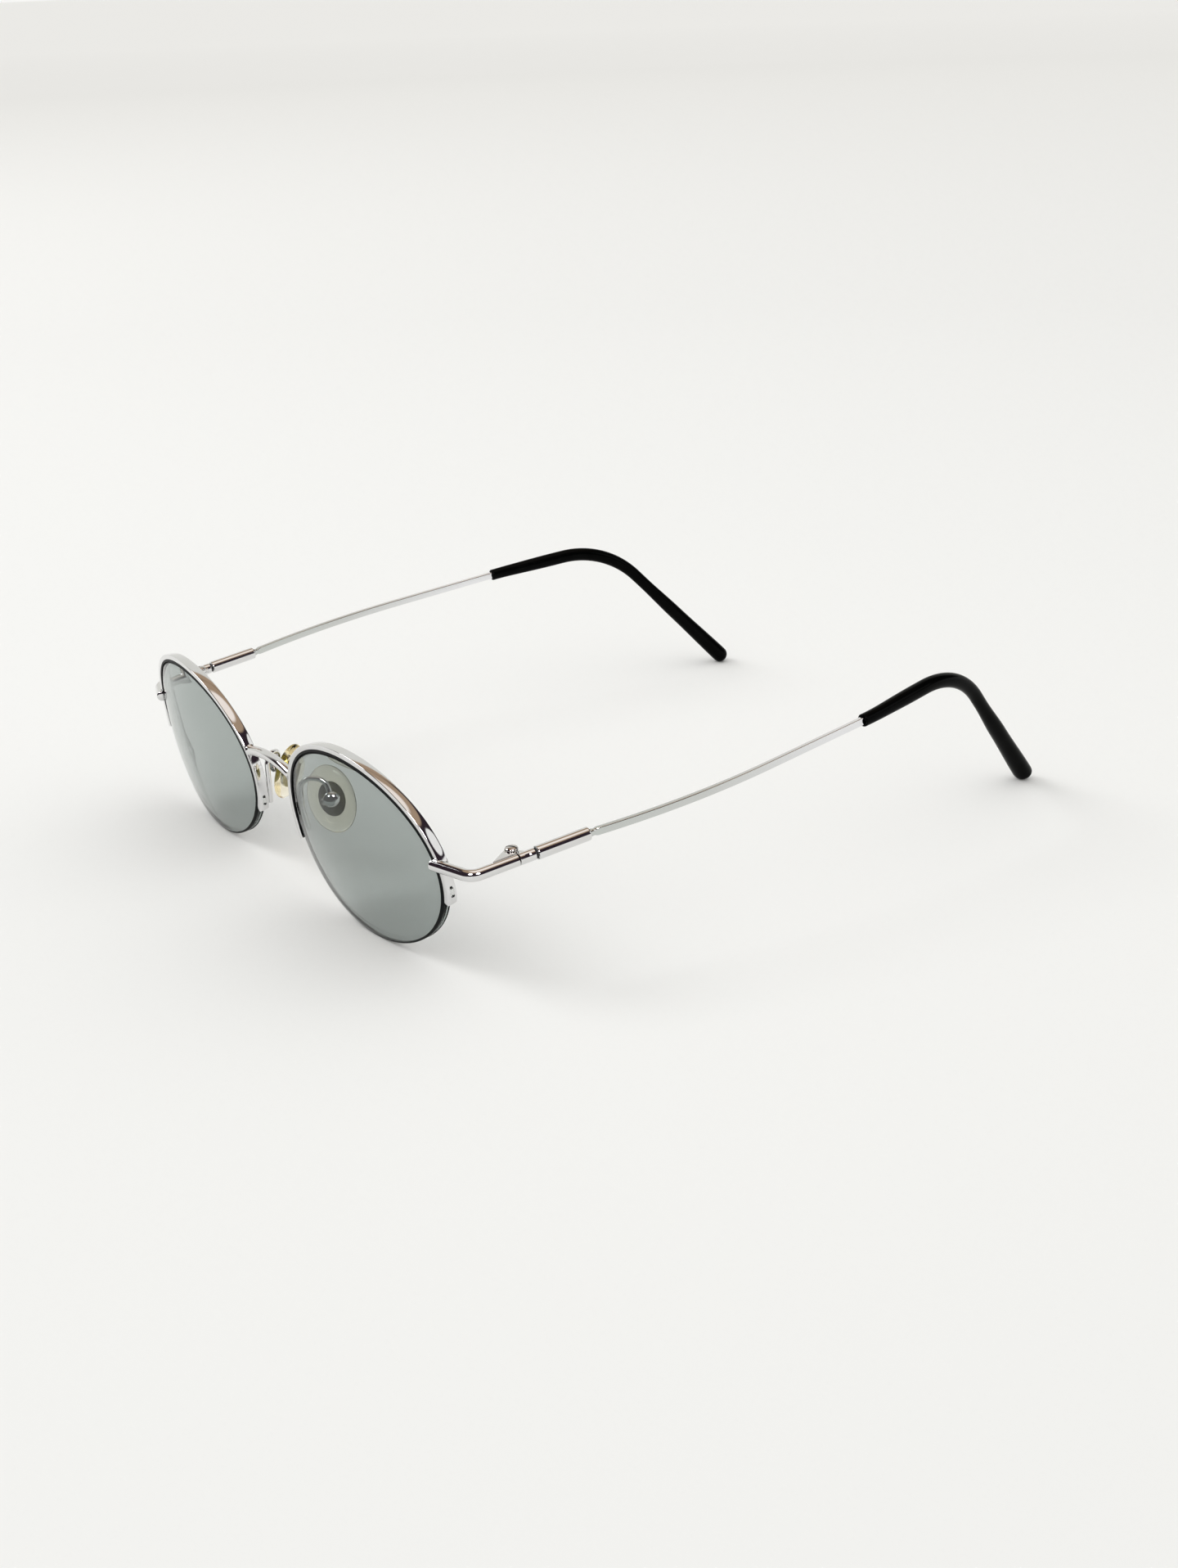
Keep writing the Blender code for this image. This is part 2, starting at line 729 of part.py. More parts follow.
def rod_clearance():
    """The endpiece rod with the solder gap round it, in the hinge frame."""
    route = rod_route()
    distances = route.stations(0.0, route.length + EAR_RADIUS + OVERCUT)
    radius = ROD_RADIUS + SOLDER_GAP
    rings = swept(route, distances, [circle(radius, ROD_SIDES)] * len(distances), up=(0, 0, 1))
    return moved(skin(rings), hinge_frame().inverted())


def ear_outline():
    """Two straight sides that run from the rod to the rounded end at the screw."""
    foot = Vector((HINGE_OFFSET - ROD_RADIUS / 2, -EAR_LENGTH))
    reach = math.acos(EAR_RADIUS / foot.length)
    first = math.atan2(foot.y, foot.x) - reach
    last = -2 * math.pi + math.asin(SEAM_GAP / 2 / EAR_RADIUS) - math.radians(EAR_CUT_BACK)
    steps = 14
    outline = [tuple(foot)]
    for i in range(steps + 1):
        angle = first + (last - first) * i / steps
        outline.append((EAR_RADIUS * math.cos(angle), EAR_RADIUS * math.sin(angle)))
    outline.append((foot.x, -SEAM_GAP))
    return outline


def make_front_hinge(side_name, side):
    """Two ears on the inside of the endpiece, joined by a web in front of the temple's eye."""
    top = EYE_THICKNESS / 2 + EYE_SLOT_GAP + EAR_THICKNESS
    slot = EYE_THICKNESS / 2 + EYE_SLOT_GAP
    bm = prism(ear_outline(), -top, top)
    swing = EAR_RADIUS + EYE_SWING_GAP
    bm = cut(bm, block((-0.004, -swing, -slot), (0.004, 0.004, slot)))
    bm = cut(bm, turned([(SCREW_RADIUS + FIT_GAP, -0.003), (SCREW_RADIUS + FIT_GAP, 0.003)], 16, "Z"))
    bm = cut(bm, rod_clearance())
    add_piece(bm, f"front_hinge_{side_name}", "chrome", hinge_frame(), side)


def make_hinge_screw(side_name, side):
    top = EYE_THICKNESS / 2 + EYE_SLOT_GAP + EAR_THICKNESS
    seat = top + FIT_GAP
    head = seat + SCREW_HEAD_HEIGHT
    profile = [
        (0, -top),
        (SCREW_RADIUS, -top),
        (SCREW_RADIUS, seat),
        *((SCREW_HEAD_RADIUS * out, seat + SCREW_HEAD_HEIGHT * up) for out, up in SCREW_HEAD_PROFILE),
        (0, head),
    ]
    bm = turned(profile, 16, "Z")
    half = SCREW_SLOT_WIDTH / 2
    slot = block((-0.002, -half, head - SCREW_SLOT_DEPTH), (0.002, half, head + OVERCUT))
    bm = cut(bm, moved(slot, Matrix.Rotation(math.radians(SCREW_SLOT_TURN), 4, "Z")))
    add_piece(bm, f"hinge_screw_{side_name}", "steel", hinge_frame(), side)


def neck_outline():
    """The tapered plate that leaves the eye along a tangent and runs into the stub's side."""
    front = SEAM_GAP / 2
    back = front + EYE_NECK_LENGTH
    foot = Vector((HINGE_OFFSET - ROD_RADIUS / 2, back))
    leaving = math.atan2(foot.y, foot.x) + math.acos(EAR_RADIUS / foot.length)
    tangent = (EAR_RADIUS * math.cos(leaving), EAR_RADIUS * math.sin(leaving))
    return [(0, front), (HINGE_OFFSET, front), (HINGE_OFFSET, back), tuple(foot), tangent]


def make_hinge_link(side_name, side):
    """The temple's eye, its round stub and the plunger that runs into the sleeve."""
    half = EYE_THICKNESS / 2
    start = SEAM_GAP / 2
    stub_end = start + STUB_LENGTH
    stub = turned(
        [
            (0, start),
            (ROD_RADIUS - SEAM_CHAMFER, start),
            (ROD_RADIUS, start + SEAM_CHAMFER),
            (ROD_RADIUS, stub_end - SEAM_CHAMFER),
            (ROD_RADIUS - SEAM_CHAMFER, stub_end),
            (PLUNGER_RADIUS, stub_end),
            (PLUNGER_RADIUS, stub_end + PLUNGER_LENGTH),
            (0, stub_end + PLUNGER_LENGTH),
        ],
        ROD_SIDES,
        centre=(HINGE_OFFSET, 0, 0),
    )
    swing = EAR_RADIUS + EYE_SWING_GAP
    tall = ROD_RADIUS + OVERCUT
    for low, high in ((half, tall), (-tall, -half)):
        stub = cut(stub, turned([(swing, low), (swing, high)], 24, "Z"))
    slot_middle = start + STUB_LENGTH / 2
    slot = block(
        (-STUB_SLOT_WIDTH / 2, slot_middle - STUB_SLOT_LENGTH / 2, ROD_RADIUS - STUB_SLOT_DEPTH),
        (STUB_SLOT_WIDTH / 2, slot_middle + STUB_SLOT_LENGTH / 2, ROD_RADIUS + OVERCUT),
    )
    turn = Matrix.Rotation(math.radians(STUB_SLOT_TURN), 4, "Y")
    stub = cut(stub, moved(slot, Matrix.Translation((HINGE_OFFSET, 0, 0)) @ turn))
    eye = turned([(EAR_RADIUS, -half), (EAR_RADIUS, half)], 24, "Z")
    eye = joined(eye, prism(neck_outline(), -half, half))
    bore = SCREW_RADIUS + RUNNING_GAP
    bm = joined(stub, eye)
    bm = cut(bm, turned([(bore, -0.002), (bore, 0.002)], 16, "Z"))
    add_piece(bm, f"hinge_link_{side_name}", "chrome", hinge_frame(), side)


def sleeve_start():
    return SEAM_GAP / 2 + STUB_LENGTH + SLEEVE_GAP


def plunger_end():
    return SEAM_GAP / 2 + STUB_LENGTH + PLUNGER_LENGTH


def make_spring_sleeve(side_name, side):
    start = sleeve_start()
    end = start + SLEEVE_LENGTH
    wall = end - SLEEVE_END_WALL
    bore = TENON_RADIUS + FIT_GAP
    profile = [
        (SLEEVE_BORE, start),
        (SLEEVE_RADIUS - SLEEVE_CHAMFER, start),
        (SLEEVE_RADIUS, start + SLEEVE_CHAMFER),
        (SLEEVE_RADIUS, end - SLEEVE_CHAMFER),
        (SLEEVE_RADIUS - SLEEVE_CHAMFER, end),
        (bore, end),
        (bore, wall),
        (SLEEVE_BORE, wall),
    ]
    bm = turned(profile, 20, centre=(HINGE_OFFSET, 0, 0), loop=True)
    add_piece(bm, f"spring_sleeve_{side_name}", "chrome", hinge_frame(), side)


def make_sleeve_bush(side_name, side):
    start = sleeve_start() + FIT_GAP
    inner = PLUNGER_RADIUS + RUNNING_GAP
    outer = SLEEVE_BORE - FIT_GAP
    profile = [(inner, start), (outer, start), (outer, start + BUSH_LENGTH), (inner, start + BUSH_LENGTH)]
    bm = turned(profile, 20, centre=(HINGE_OFFSET, 0, 0), loop=True)
    add_piece(bm, f"sleeve_bush_{side_name}", "steel", hinge_frame(), side)


def make_plunger_nut(side_name, side):
    end = plunger_end() - FIT_GAP
    inner = PLUNGER_RADIUS + FIT_GAP
    profile = [(inner, end - NUT_LENGTH), (NUT_RADIUS, end - NUT_LENGTH), (NUT_RADIUS, end), (inner, end)]
    bm = turned(profile, 12, centre=(HINGE_OFFSET, 0, 0), loop=True)
    add_piece(bm, f"plunger_nut_{side_name}", "steel", hinge_frame(), side)


def make_flex_spring(side_name, side):
    """A coil round the plunger, between the bush and the nut."""
    coil_radius = (SLEEVE_BORE + PLUNGER_RADIUS) / 2
    room = SPRING_WIRE_RADIUS + FIT_GAP
    start = sleeve_start() + FIT_GAP + BUSH_LENGTH + room
    end = plunger_end() - FIT_GAP - NUT_LENGTH - room
    count = SPRING_TURNS * SPRING_POINTS_PER_TURN
    points = []
    for i in range(count + 1):
        angle = 2 * math.pi * i / SPRING_POINTS_PER_TURN
        place = start + (end - start) * i / count
        x = HINGE_OFFSET + coil_radius * math.cos(angle)
        points.append(Vector((x, place, coil_radius * math.sin(angle))))
    pitch = (end - start) / SPRING_TURNS
    print(f"flex_spring_{side_name}: gap between turns {(pitch - 2 * SPRING_WIRE_RADIUS) * 1000:.2f} mm")
    bm = round_wire(Route(points, [0.0] * (count - 1)), SPRING_WIRE_RADIUS, 6)
    add_piece(bm, f"flex_spring_{side_name}", "steel", hinge_frame(), side)


# Temple, in the hinge frame


def heading(inward_angle, down_angle):
    """A direction from the sleeve's, turned towards the head and then down."""
    inward = math.radians(inward_angle)
    down = math.radians(down_angle)
    return Vector((-math.sin(inward) * math.cos(down), math.cos(inward) * math.cos(down), -math.sin(down)))


def blade_root():
    return Vector((HINGE_OFFSET, sleeve_start() + SLEEVE_LENGTH + FIT_GAP, 0))


def bow_corner():
    """From the sleeve's end to the bow's corner: a short lead, then half of the bow."""
    turn = math.radians(BOW_START_ANGLE + STRAIGHT_ANGLE)
    return BOW_LEAD + BOW_RADIUS * math.tan(turn / 2)


def temple_route():
    """From the sleeve's end: a gentle outward bow, a straight run, the bend and the leg.

    The leg ends where the tip's rounded end meets the table.
    """
    root = blade_root()
    bow = root + heading(-BOW_START_ANGLE, 0) * bow_corner()
    tip = bow + heading(STRAIGHT_ANGLE, 0) * (TIP_START + TIP_CORNER_FROM_MOUTH)
    ear = tip + heading(TIP_ANGLE, 0) * EAR_CORNER_LENGTH
    leg = heading(LEG_INWARD, LEG_DOWN)
    frame = hinge_frame()
    drop = (frame @ ear).z - TIP_END_HALF_WIDTH
    end = ear + leg * drop / -(frame.to_3x3() @ leg).z
    return Route((root, bow, tip, ear, end), (BOW_RADIUS, TIP_CORNER_RADIUS, EAR_BEND_RADIUS))


def blade_outline(height, thickness, chamfer):
    a = thickness / 2
    b = height / 2
    half = chamfer / 2
    corner = []
    for sx, sy in ((1, 1), (-1, 1), (-1, -1), (1, -1)):
        long_first = [(a * sx, (b - chamfer) * sy), ((a - half * 0.6) * sx, (b - half * 0.6) * sy)]
        long_first.append(((a - chamfer) * sx, b * sy))
        corner += long_first if sx == sy else long_first[::-1]
    return corner


def make_temple_wire(side_name, side):
    """One wire: a peened tenon in the sleeve, a neck, the flat blade and the core in the tip."""
    route = temple_route()
    sides = 12
    sleeve_end = sleeve_start() + SLEEVE_LENGTH
    inner_wall = sleeve_end - SLEEVE_END_WALL
    tenon = []
    for radius, place in (
        (TENON_HEAD_RADIUS, inner_wall - FIT_GAP - TENON_HEAD_LENGTH),
        (TENON_HEAD_RADIUS, inner_wall - FIT_GAP),
        (TENON_RADIUS, inner_wall - FIT_GAP),
        (TENON_RADIUS, sleeve_end + FIT_GAP),
    ):
        tenon.append([Vector((HINGE_OFFSET + a, place, b)) for a, b in circle(radius, sides)])
    mouth = tip_mouth()
    blade = blade_outline(BLADE_HEIGHT, BLADE_THICKNESS, BLADE_CHAMFER)
    core_end = route.length - CORE_END
    blade_start = NECK_LENGTH + NECK_RAMP
    distances = [4 * FIT_GAP, NECK_LENGTH / 2, NECK_LENGTH, blade_start]
    outlines = [circle(NECK_RADIUS, sides), circle(NECK_RADIUS, sides), circle(NECK_WAIST_RADIUS, sides), blade]
    for mark in route.stations(blade_start, mouth - FIT_GAP)[1:]:
        distances.append(mark)
        outlines.append(blade)
    for mark in route.stations(mouth - FIT_GAP, core_end):
        distances.append(mark)
        outlines.append(circle(CORE_RADIUS, sides))
    rings = swept(route, distances, outlines, up=(0, 0, 1))
    bm = skin(tenon + rings)
    add_piece(bm, f"temple_wire_{side_name}", "chrome", hinge_frame(), side)


def tip_mouth():
    return bow_corner() + TIP_START


def tip_section(share):
    """Half width and half thickness of the tip, by the share of its length."""
    stops = (
        (0.00, TIP_FRONT_RADIUS, TIP_FRONT_RADIUS),
        (TIP_SWELL[0], TIP_SWELL_RADIUS, TIP_SWELL_RADIUS),
        (TIP_SWELL[1], TIP_SWELL_RADIUS, TIP_SWELL_RADIUS),
        (TIP_WAIST, TIP_WAIST_RADIUS, TIP_WAIST_RADIUS),
        (TIP_FLARE, TIP_WAIST_RADIUS + TIP_FLARE_WIDER, TIP_WAIST_RADIUS + TIP_FLARE_THICKER),
        (1.00, TIP_END_HALF_WIDTH, TIP_END_HALF_THICKNESS),
    )
    for near, far in zip(stops, stops[1:]):
        if share <= far[0]:
            k = (share - near[0]) / (far[0] - near[0])
            k = k * k * (3 - 2 * k)
            return tuple(near[i] + (far[i] - near[i]) * k for i in (1, 2))
    return stops[-1][1:]


def make_temple_tip(side_name, side):
    """The black sleeve over the temple's end: blunt in front, a paddle behind, bored for the core."""
    route = temple_route()
    mouth = tip_mouth()
    length = route.length - mouth
    inner_marks = route.stations(mouth, route.length, [mouth + length * share for share in TIP_STATIONS])
    distances = [mouth, mouth + TIP_FRONT_ROUND, *inner_marks[1:]]
    outlines = [circle(TIP_FRONT_RADIUS - TIP_FRONT_ROUND, TIP_SIDES)]
    for mark in distances[1:]:
        width, thickness = tip_section((mark - mouth) / length)
        outlines.append(circle(width, TIP_SIDES, thickness / width))
    for share in TIP_END_STATIONS:
        distances.append(route.length + TIP_END_HALF_WIDTH * share)
        scale = math.sqrt(1 - share * share)
        flatten = TIP_END_HALF_THICKNESS / TIP_END_HALF_WIDTH
        outlines.append(circle(TIP_END_HALF_WIDTH * scale, TIP_SIDES, flatten))
    bore = CORE_RADIUS + FIT_GAP
    core = route.stations(mouth, route.length - CORE_END + 4 * FIT_GAP)
    inner = swept(route, core, [circle(bore, TIP_SIDES)] * len(core), up=(0, 0, 1))
    rings = inner[::-1] + swept(route, distances, outlines, up=(0, 0, 1))
    end, direction = route.at(route.length)
    bm = skin(rings, end=end + direction * TIP_END_HALF_WIDTH)
    add_piece(bm, f"temple_tip_{side_name}", "black_tip", hinge_frame(), side)


# Nose pads, in the pad frame


def oval(half_height, half_width, sides=PAD_SIDES):
    turns = [2 * math.pi * i / sides for i in range(sides)]
    return [(half_width * math.cos(a), half_height * math.sin(a)) for a in turns]


def oval_ring(x, height, width):
    return [Vector((x, y, z)) for y, z in oval(height / 2, width / 2)]


def make_nose_pad(side_name, side):
    """A soft oval with a crowned face to the nose and a pocket behind for its core."""
    back = -PAD_PIVOT_HEIGHT + PAD_SEAT_DEPTH
    rings = []
    for share, scale in PAD_PROFILE:
        rings.append(oval_ring(back - PAD_THICKNESS * share, PAD_HEIGHT * scale, PAD_WIDTH * scale))
    pocket_height = INSERT_HEIGHT + 2 * FIT_GAP
    pocket_width = INSERT_WIDTH + 2 * FIT_GAP
    floor = back - INSERT_THICKNESS - 2 * FIT_GAP
    rings.append(oval_ring(back, pocket_height, pocket_width))
    rings.append(oval_ring(floor, pocket_height, pocket_width))
    bm = skin(rings, start=Vector((back - PAD_THICKNESS, 0, 0)))
    add_piece(bm, f"nose_pad_{side_name}", "silicone", pad_frame(), side)


def make_pad_core(side_name, side):
    """The stiff plate in the pad, with the tongue that the screw goes through."""
    back = -PAD_PIVOT_HEIGHT + PAD_SEAT_DEPTH - FIT_GAP
    plate = skin([oval_ring(x, INSERT_HEIGHT, INSERT_WIDTH) for x in (back - INSERT_THICKNESS, back)])
    half = TONGUE_THICKNESS / 2
    tongue = block((back - INSERT_THICKNESS / 2, -half, -TONGUE_HALF_HEIGHT), (0, half, TONGUE_HALF_HEIGHT))
    end = turned([(TONGUE_HALF_HEIGHT, -half), (TONGUE_HALF_HEIGHT, half)], 16)
    bm = joined(plate, joined(tongue, end))
    bore = PAD_SCREW_RADIUS + RUNNING_GAP
    bm = cut(bm, turned([(bore, -0.002), (bore, 0.002)], 12))
    add_piece(bm, f"pad_core_{side_name}", "pad_core", pad_frame(), side)


def make_pad_box(side_name, side):
    """A small round box, open towards the pad, whose two cheeks hold the tongue."""
    dome = BOX_BACK + BOX_DOME
    profile = [
        (0, -BOX_FRONT),
        (BOX_RADIUS, -BOX_FRONT),
        *((BOX_RADIUS * out, BOX_BACK + BOX_DOME * up) for out, up in BOX_DOME_PROFILE),
        (0, dome),
    ]
    bm = turned(profile, 18, "X")
    half = TONGUE_THICKNESS / 2 + EYE_SLOT_GAP
    tall = BOX_RADIUS - BOX_WALL
    bm = cut(bm, block((-BOX_FRONT - OVERCUT, -half, -tall), (TONGUE_HALF_HEIGHT + 2 * FIT_GAP, half, tall)))
    bore = PAD_SCREW_RADIUS + FIT_GAP
    bm = cut(bm, turned([(bore, -0.002), (bore, 0.002)], 12))
    seat = -BOX_RADIUS + PAD_SEAT_INSET
    spot = PAD_SCREW_HEAD_RADIUS + FIT_GAP
    bm = cut(bm, turned([(spot, seat - 0.001), (spot, seat)], 16))
    flat = BOX_RADIUS - PAD_SEAT_INSET
    bm = cut(bm, block((-0.002, -0.002, flat), (0.003, 0.002, flat + 0.002)))
    add_piece(bm, f"pad_box_{side_name}", "chrome", pad_frame(), side)


def make_pad_screw(side_name, side):
    seat = -BOX_RADIUS + PAD_SEAT_INSET - FIT_GAP
    head = seat - PAD_SCREW_HEAD_HEIGHT
    profile = [
        (0, head),
        *((PAD_SCREW_HEAD_RADIUS * out, seat - PAD_SCREW_HEAD_HEIGHT * up) for out, up in PAD_SCREW_HEAD_PROFILE),
        (PAD_SCREW_RADIUS, seat),
        (PAD_SCREW_RADIUS, BOX_RADIUS - PAD_SCREW_END_INSET),
        (0, BOX_RADIUS - PAD_SCREW_END_INSET),
    ]
    bm = turned(profile, 14)
    half = PAD_SCREW_SLOT_WIDTH / 2
    bm = cut(bm, block((-0.002, head - OVERCUT, -half), (0.002, head + PAD_SCREW_SLOT_DEPTH, half)))
    add_piece(bm, f"pad_screw_{side_name}", "steel", pad_frame(), side)


def make_pad_arm(side_name, side):
    """A wire up the back of the rim's nose lug, over in a small arch, and down into the box."""
    frame = lens_frame()
    behind = rim_front() + RIM_DEPTH + SOLDER_GAP + ARM_RADIUS
    inset = RIM_STANDOFF + RIM_WALL / 2
    foot = frame @ lens_edge(ARM_FOOT_ANGLE, inset, behind)
    knee = frame @ lens_edge(ARM_LEG_ANGLE, inset, behind)
    box = pad_frame()
    top = box @ Vector((PAD_SEAT_INSET, 0, BOX_RADIUS - PAD_SEAT_INSET + SOLDER_GAP))
    up = box.to_3x3() @ Vector((0, 0, 1))
    arch_back = top + up * ARM_DROP
    arch_front = Vector((knee.x, knee.y, arch_back.z + ARM_ARCH_SLOPE))
    corners = (foot, knee, arch_front, arch_back, top)
    route = Route(corners, (ARM_LEG_BEND, ARM_ARCH_BEND, ARM_ARCH_BEND), THIN_ARC_STEP)
    bm = round_wire(route, ARM_RADIUS, ARM_SIDES, end_normal=up)
    add_piece(bm, f"pad_arm_{side_name}", "chrome", Matrix.Identity(4), side)


def stand_on_origin():
    """Moves every piece so that the origin is under the middle of the whole, at table height."""
    bpy.context.view_layer.update()
    low = Vector((math.inf,) * 3)
    high = Vector((-math.inf,) * 3)
    for piece in bpy.context.scene.objects:
        for vertex in piece.data.vertices:
            place = piece.matrix_world @ vertex.co
            for axis in range(3):
                low[axis] = min(low[axis], place[axis])
                high[axis] = max(high[axis], place[axis])
    shift = Vector((-(low.x + high.x) / 2, -(low.y + high.y) / 2, -low.z))
    for piece in bpy.context.scene.objects:
        piece.matrix_world = Matrix.Translation(shift) @ piece.matrix_world
    return shift


def report_joints(shift):
    hinge = Matrix.Translation(shift) @ hinge_frame()
    pad = Matrix.Translation(shift) @ pad_frame()
    route = temple_route()
    bow_end = 2 * bow_corner() - BOW_LEAD
    flat, direction = route.at((bow_end + tip_mouth()) / 2)
    outer = flat + direction.cross(Vector((0, 0, 1))) * BLADE_THICKNESS / 2
    for label, value in (
        ("shift", shift),
        ("hinge screw", hinge.translation),
        ("hinge axis", hinge.to_3x3() @ Vector((0, 0, 1))),
        ("sleeve axis", hinge.to_3x3() @ Vector((0, 1, 0))),
        ("pad screw", pad.translation),
        ("pad axis", pad.to_3x3() @ Vector((0, 1, 0))),
        ("blade face", hinge @ outer),
        ("blade normal", hinge.to_3x3() @ direction.cross(Vector((0, 0, 1)))),
    ):
        print(f"{label}: {value.x:.7f} {value.y:.7f} {value.z:.7f}")


def main():
    clear_scene()
    make_bridge()
    for side_name, side in SIDES:
        make_lens(side_name, side)
        make_half_rim(side_name, side)
        make_rim_liner(side_name, side)
        make_nylon_line(side_name, side)
        make_endpiece(side_name, side)
        make_front_hinge(side_name, side)
        make_hinge_screw(side_name, side)
        make_hinge_link(side_name, side)
        make_plunger_nut(side_name, side)
        make_flex_spring(side_name, side)
        make_spring_sleeve(side_name, side)
        make_sleeve_bush(side_name, side)
        make_temple_wire(side_name, side)
        make_temple_tip(side_name, side)
        make_pad_arm(side_name, side)
        make_pad_box(side_name, side)
        make_pad_screw(side_name, side)
        make_pad_core(side_name, side)
        make_nose_pad(side_name, side)
    shift = stand_on_origin()
    report_joints(shift)


main()
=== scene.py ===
# %% [markdown]
# # Tinted half-rim eyeglasses
#
# The solids of these glasses are built already, so this lesson starts from them as a fixed frame. It
# models each piece that shows again with finer faces, in the same place, and gives every piece its
# finish: polished chrome, a grey-green lens, clear line, amber silicone and glossy black tips. Left
# and right are the wearer's. The left side is modelled, and the right side is its mirror image.

# %% Load the frame and measure it
from math import acos, asin, atan2, ceil, cos, degrees, pi, radians, sin, sqrt, tan

import bmesh
import bpy
from mathutils import Matrix, Vector, kdtree


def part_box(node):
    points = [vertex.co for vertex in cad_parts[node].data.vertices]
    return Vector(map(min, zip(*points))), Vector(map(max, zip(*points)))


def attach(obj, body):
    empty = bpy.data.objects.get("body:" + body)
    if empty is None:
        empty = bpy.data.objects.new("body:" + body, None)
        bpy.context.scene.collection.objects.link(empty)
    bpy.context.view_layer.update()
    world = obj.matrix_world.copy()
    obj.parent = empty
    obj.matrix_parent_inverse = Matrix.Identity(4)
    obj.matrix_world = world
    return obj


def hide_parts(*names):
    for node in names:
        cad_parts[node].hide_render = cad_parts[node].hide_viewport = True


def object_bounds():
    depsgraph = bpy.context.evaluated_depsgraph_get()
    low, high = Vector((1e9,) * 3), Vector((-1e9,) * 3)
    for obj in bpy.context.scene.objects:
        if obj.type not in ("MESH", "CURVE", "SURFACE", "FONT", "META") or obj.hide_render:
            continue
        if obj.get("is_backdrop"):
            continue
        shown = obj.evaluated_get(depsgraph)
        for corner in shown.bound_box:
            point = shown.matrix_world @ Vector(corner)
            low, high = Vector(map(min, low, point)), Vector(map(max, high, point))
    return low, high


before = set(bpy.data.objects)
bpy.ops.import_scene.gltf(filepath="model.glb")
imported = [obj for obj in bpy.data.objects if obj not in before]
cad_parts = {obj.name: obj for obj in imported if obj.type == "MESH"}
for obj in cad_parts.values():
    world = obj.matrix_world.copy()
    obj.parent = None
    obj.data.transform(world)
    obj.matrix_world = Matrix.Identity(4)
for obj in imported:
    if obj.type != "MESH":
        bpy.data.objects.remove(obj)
cad_low, cad_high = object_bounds()
mm = 0.001
x, y, z = (side / mm for side in cad_high - cad_low)
print(f"frame: {len(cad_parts)} nodes, {x:.1f} x {y:.1f} x {z:.1f} mm")

# %% [markdown]
# ## The camera
#
# The camera comes first, because all else is judged through it. It stands on the wearer's left, in
# front of the lenses and a little above them. Its place and its tilt were solved from points of the
# photograph, so they are typed in as they came out. A 48 mm lens keeps the perspective natural.

# %% Place the camera
def towards(azimuth, elevation):
    """A direction by two angles: round from straight ahead to the wearer's left, and then up."""
    a, e = radians(azimuth), radians(elevation)
    return Vector((sin(a) * cos(e), -cos(a) * cos(e), sin(e)))


back, roll = towards(56.64, 21.45), radians(-2.25)
level = (-back).cross(Vector((0, 0, 1))).normalized()
lift = level.cross(-back)
across = level * cos(roll) + lift * sin(roll)
upward = lift * cos(roll) - level * sin(roll)
scene = bpy.context.scene
camera = bpy.data.objects.new("camera", bpy.data.cameras.new("camera"))
camera.data.lens = 48
camera.data.clip_start = 0.01
camera.matrix_world = Matrix((across, upward, back)).transposed().to_4x4()
camera.location = Vector((323.5, -213.77, 153.73)) * mm
scene.collection.objects.link(camera)
scene.camera = camera
print(f"camera: {camera.location.length / mm:.0f} mm from the origin, {camera.data.lens:.0f} mm lens")

# %% [markdown]
# ## Selecting and cutting
#
# Operators act on whatever is selected, and the loaded solids are selected at the start. So each
# step first deselects everything and then makes one object active. A cut is a Boolean modifier that
# is applied at once, and its tool is thrown away.

# %% Helpers for selecting, cutting and placing
def deselect_all():
    if bpy.context.mode != "OBJECT":
        bpy.ops.object.mode_set(mode="OBJECT")
    bpy.ops.object.select_all(action="DESELECT")


def make_active(obj):
    deselect_all()
    obj.select_set(True)
    bpy.context.view_layer.objects.active = obj


def face_outwards():
    """Turns all faces of the mesh in edit mode outwards, and leaves edit mode."""
    bpy.ops.mesh.select_all(action="SELECT")
    bpy.ops.mesh.normals_make_consistent(inside=False)
    bpy.ops.object.mode_set(mode="OBJECT")


def apply_modifier(obj, kind, **settings):
    make_active(obj)
    step = obj.modifiers.new(kind.lower(), kind)
    for label, value in settings.items():
        setattr(step, label, value)
    bpy.ops.object.modifier_apply(modifier=step.name)


def cut_away(obj, tool, operation="DIFFERENCE"):
    apply_modifier(obj, "BOOLEAN", object=tool, operation=operation, solver="EXACT")
    bpy.data.objects.remove(tool)
    return obj


def fuse(obj, tool):
    return cut_away(obj, tool, "UNION")


def soften_edges(obj, width, segments=2, angle=30):
    """Bevels the sharp edges, because polished metal never has a knife edge."""
    apply_modifier(obj, "BEVEL", width=width, segments=segments, limit_method="ANGLE",
                   angle_limit=radians(angle))


def set_in_place(obj, place):
    """Moves a piece by a matrix, then applies it, so that the object itself stays at the origin."""
    make_active(obj)
    obj.matrix_world = place
    bpy.ops.object.transform_apply()
    return obj


def frame_at(spot, around_z, around_x):
    """The matrix of a spot in millimetres, turned round Z and then tipped round X by degrees."""
    place = Matrix.Translation(Vector(spot) * mm) @ Matrix.Rotation(radians(around_z), 4, "Z")
    return place @ Matrix.Rotation(radians(around_x), 4, "X")


print("helpers: face_outwards, cut_away, fuse, soften_edges, set_in_place, frame_at")

# %% [markdown]
# ## Lofting
#
# Most pieces of a pair of glasses are bars with a changing section: the rim, the temple, the tip. A
# circle is added, its points are moved onto the first section, and its edge is extruded and moved
# onto the next section, over and over, as one does by hand.

# %% Helpers for lofting
def between(start, end, count):
    """Numbers from start to end in so many even steps, both ends included."""
    return [start + (end - start) * i / count for i in range(count + 1)]


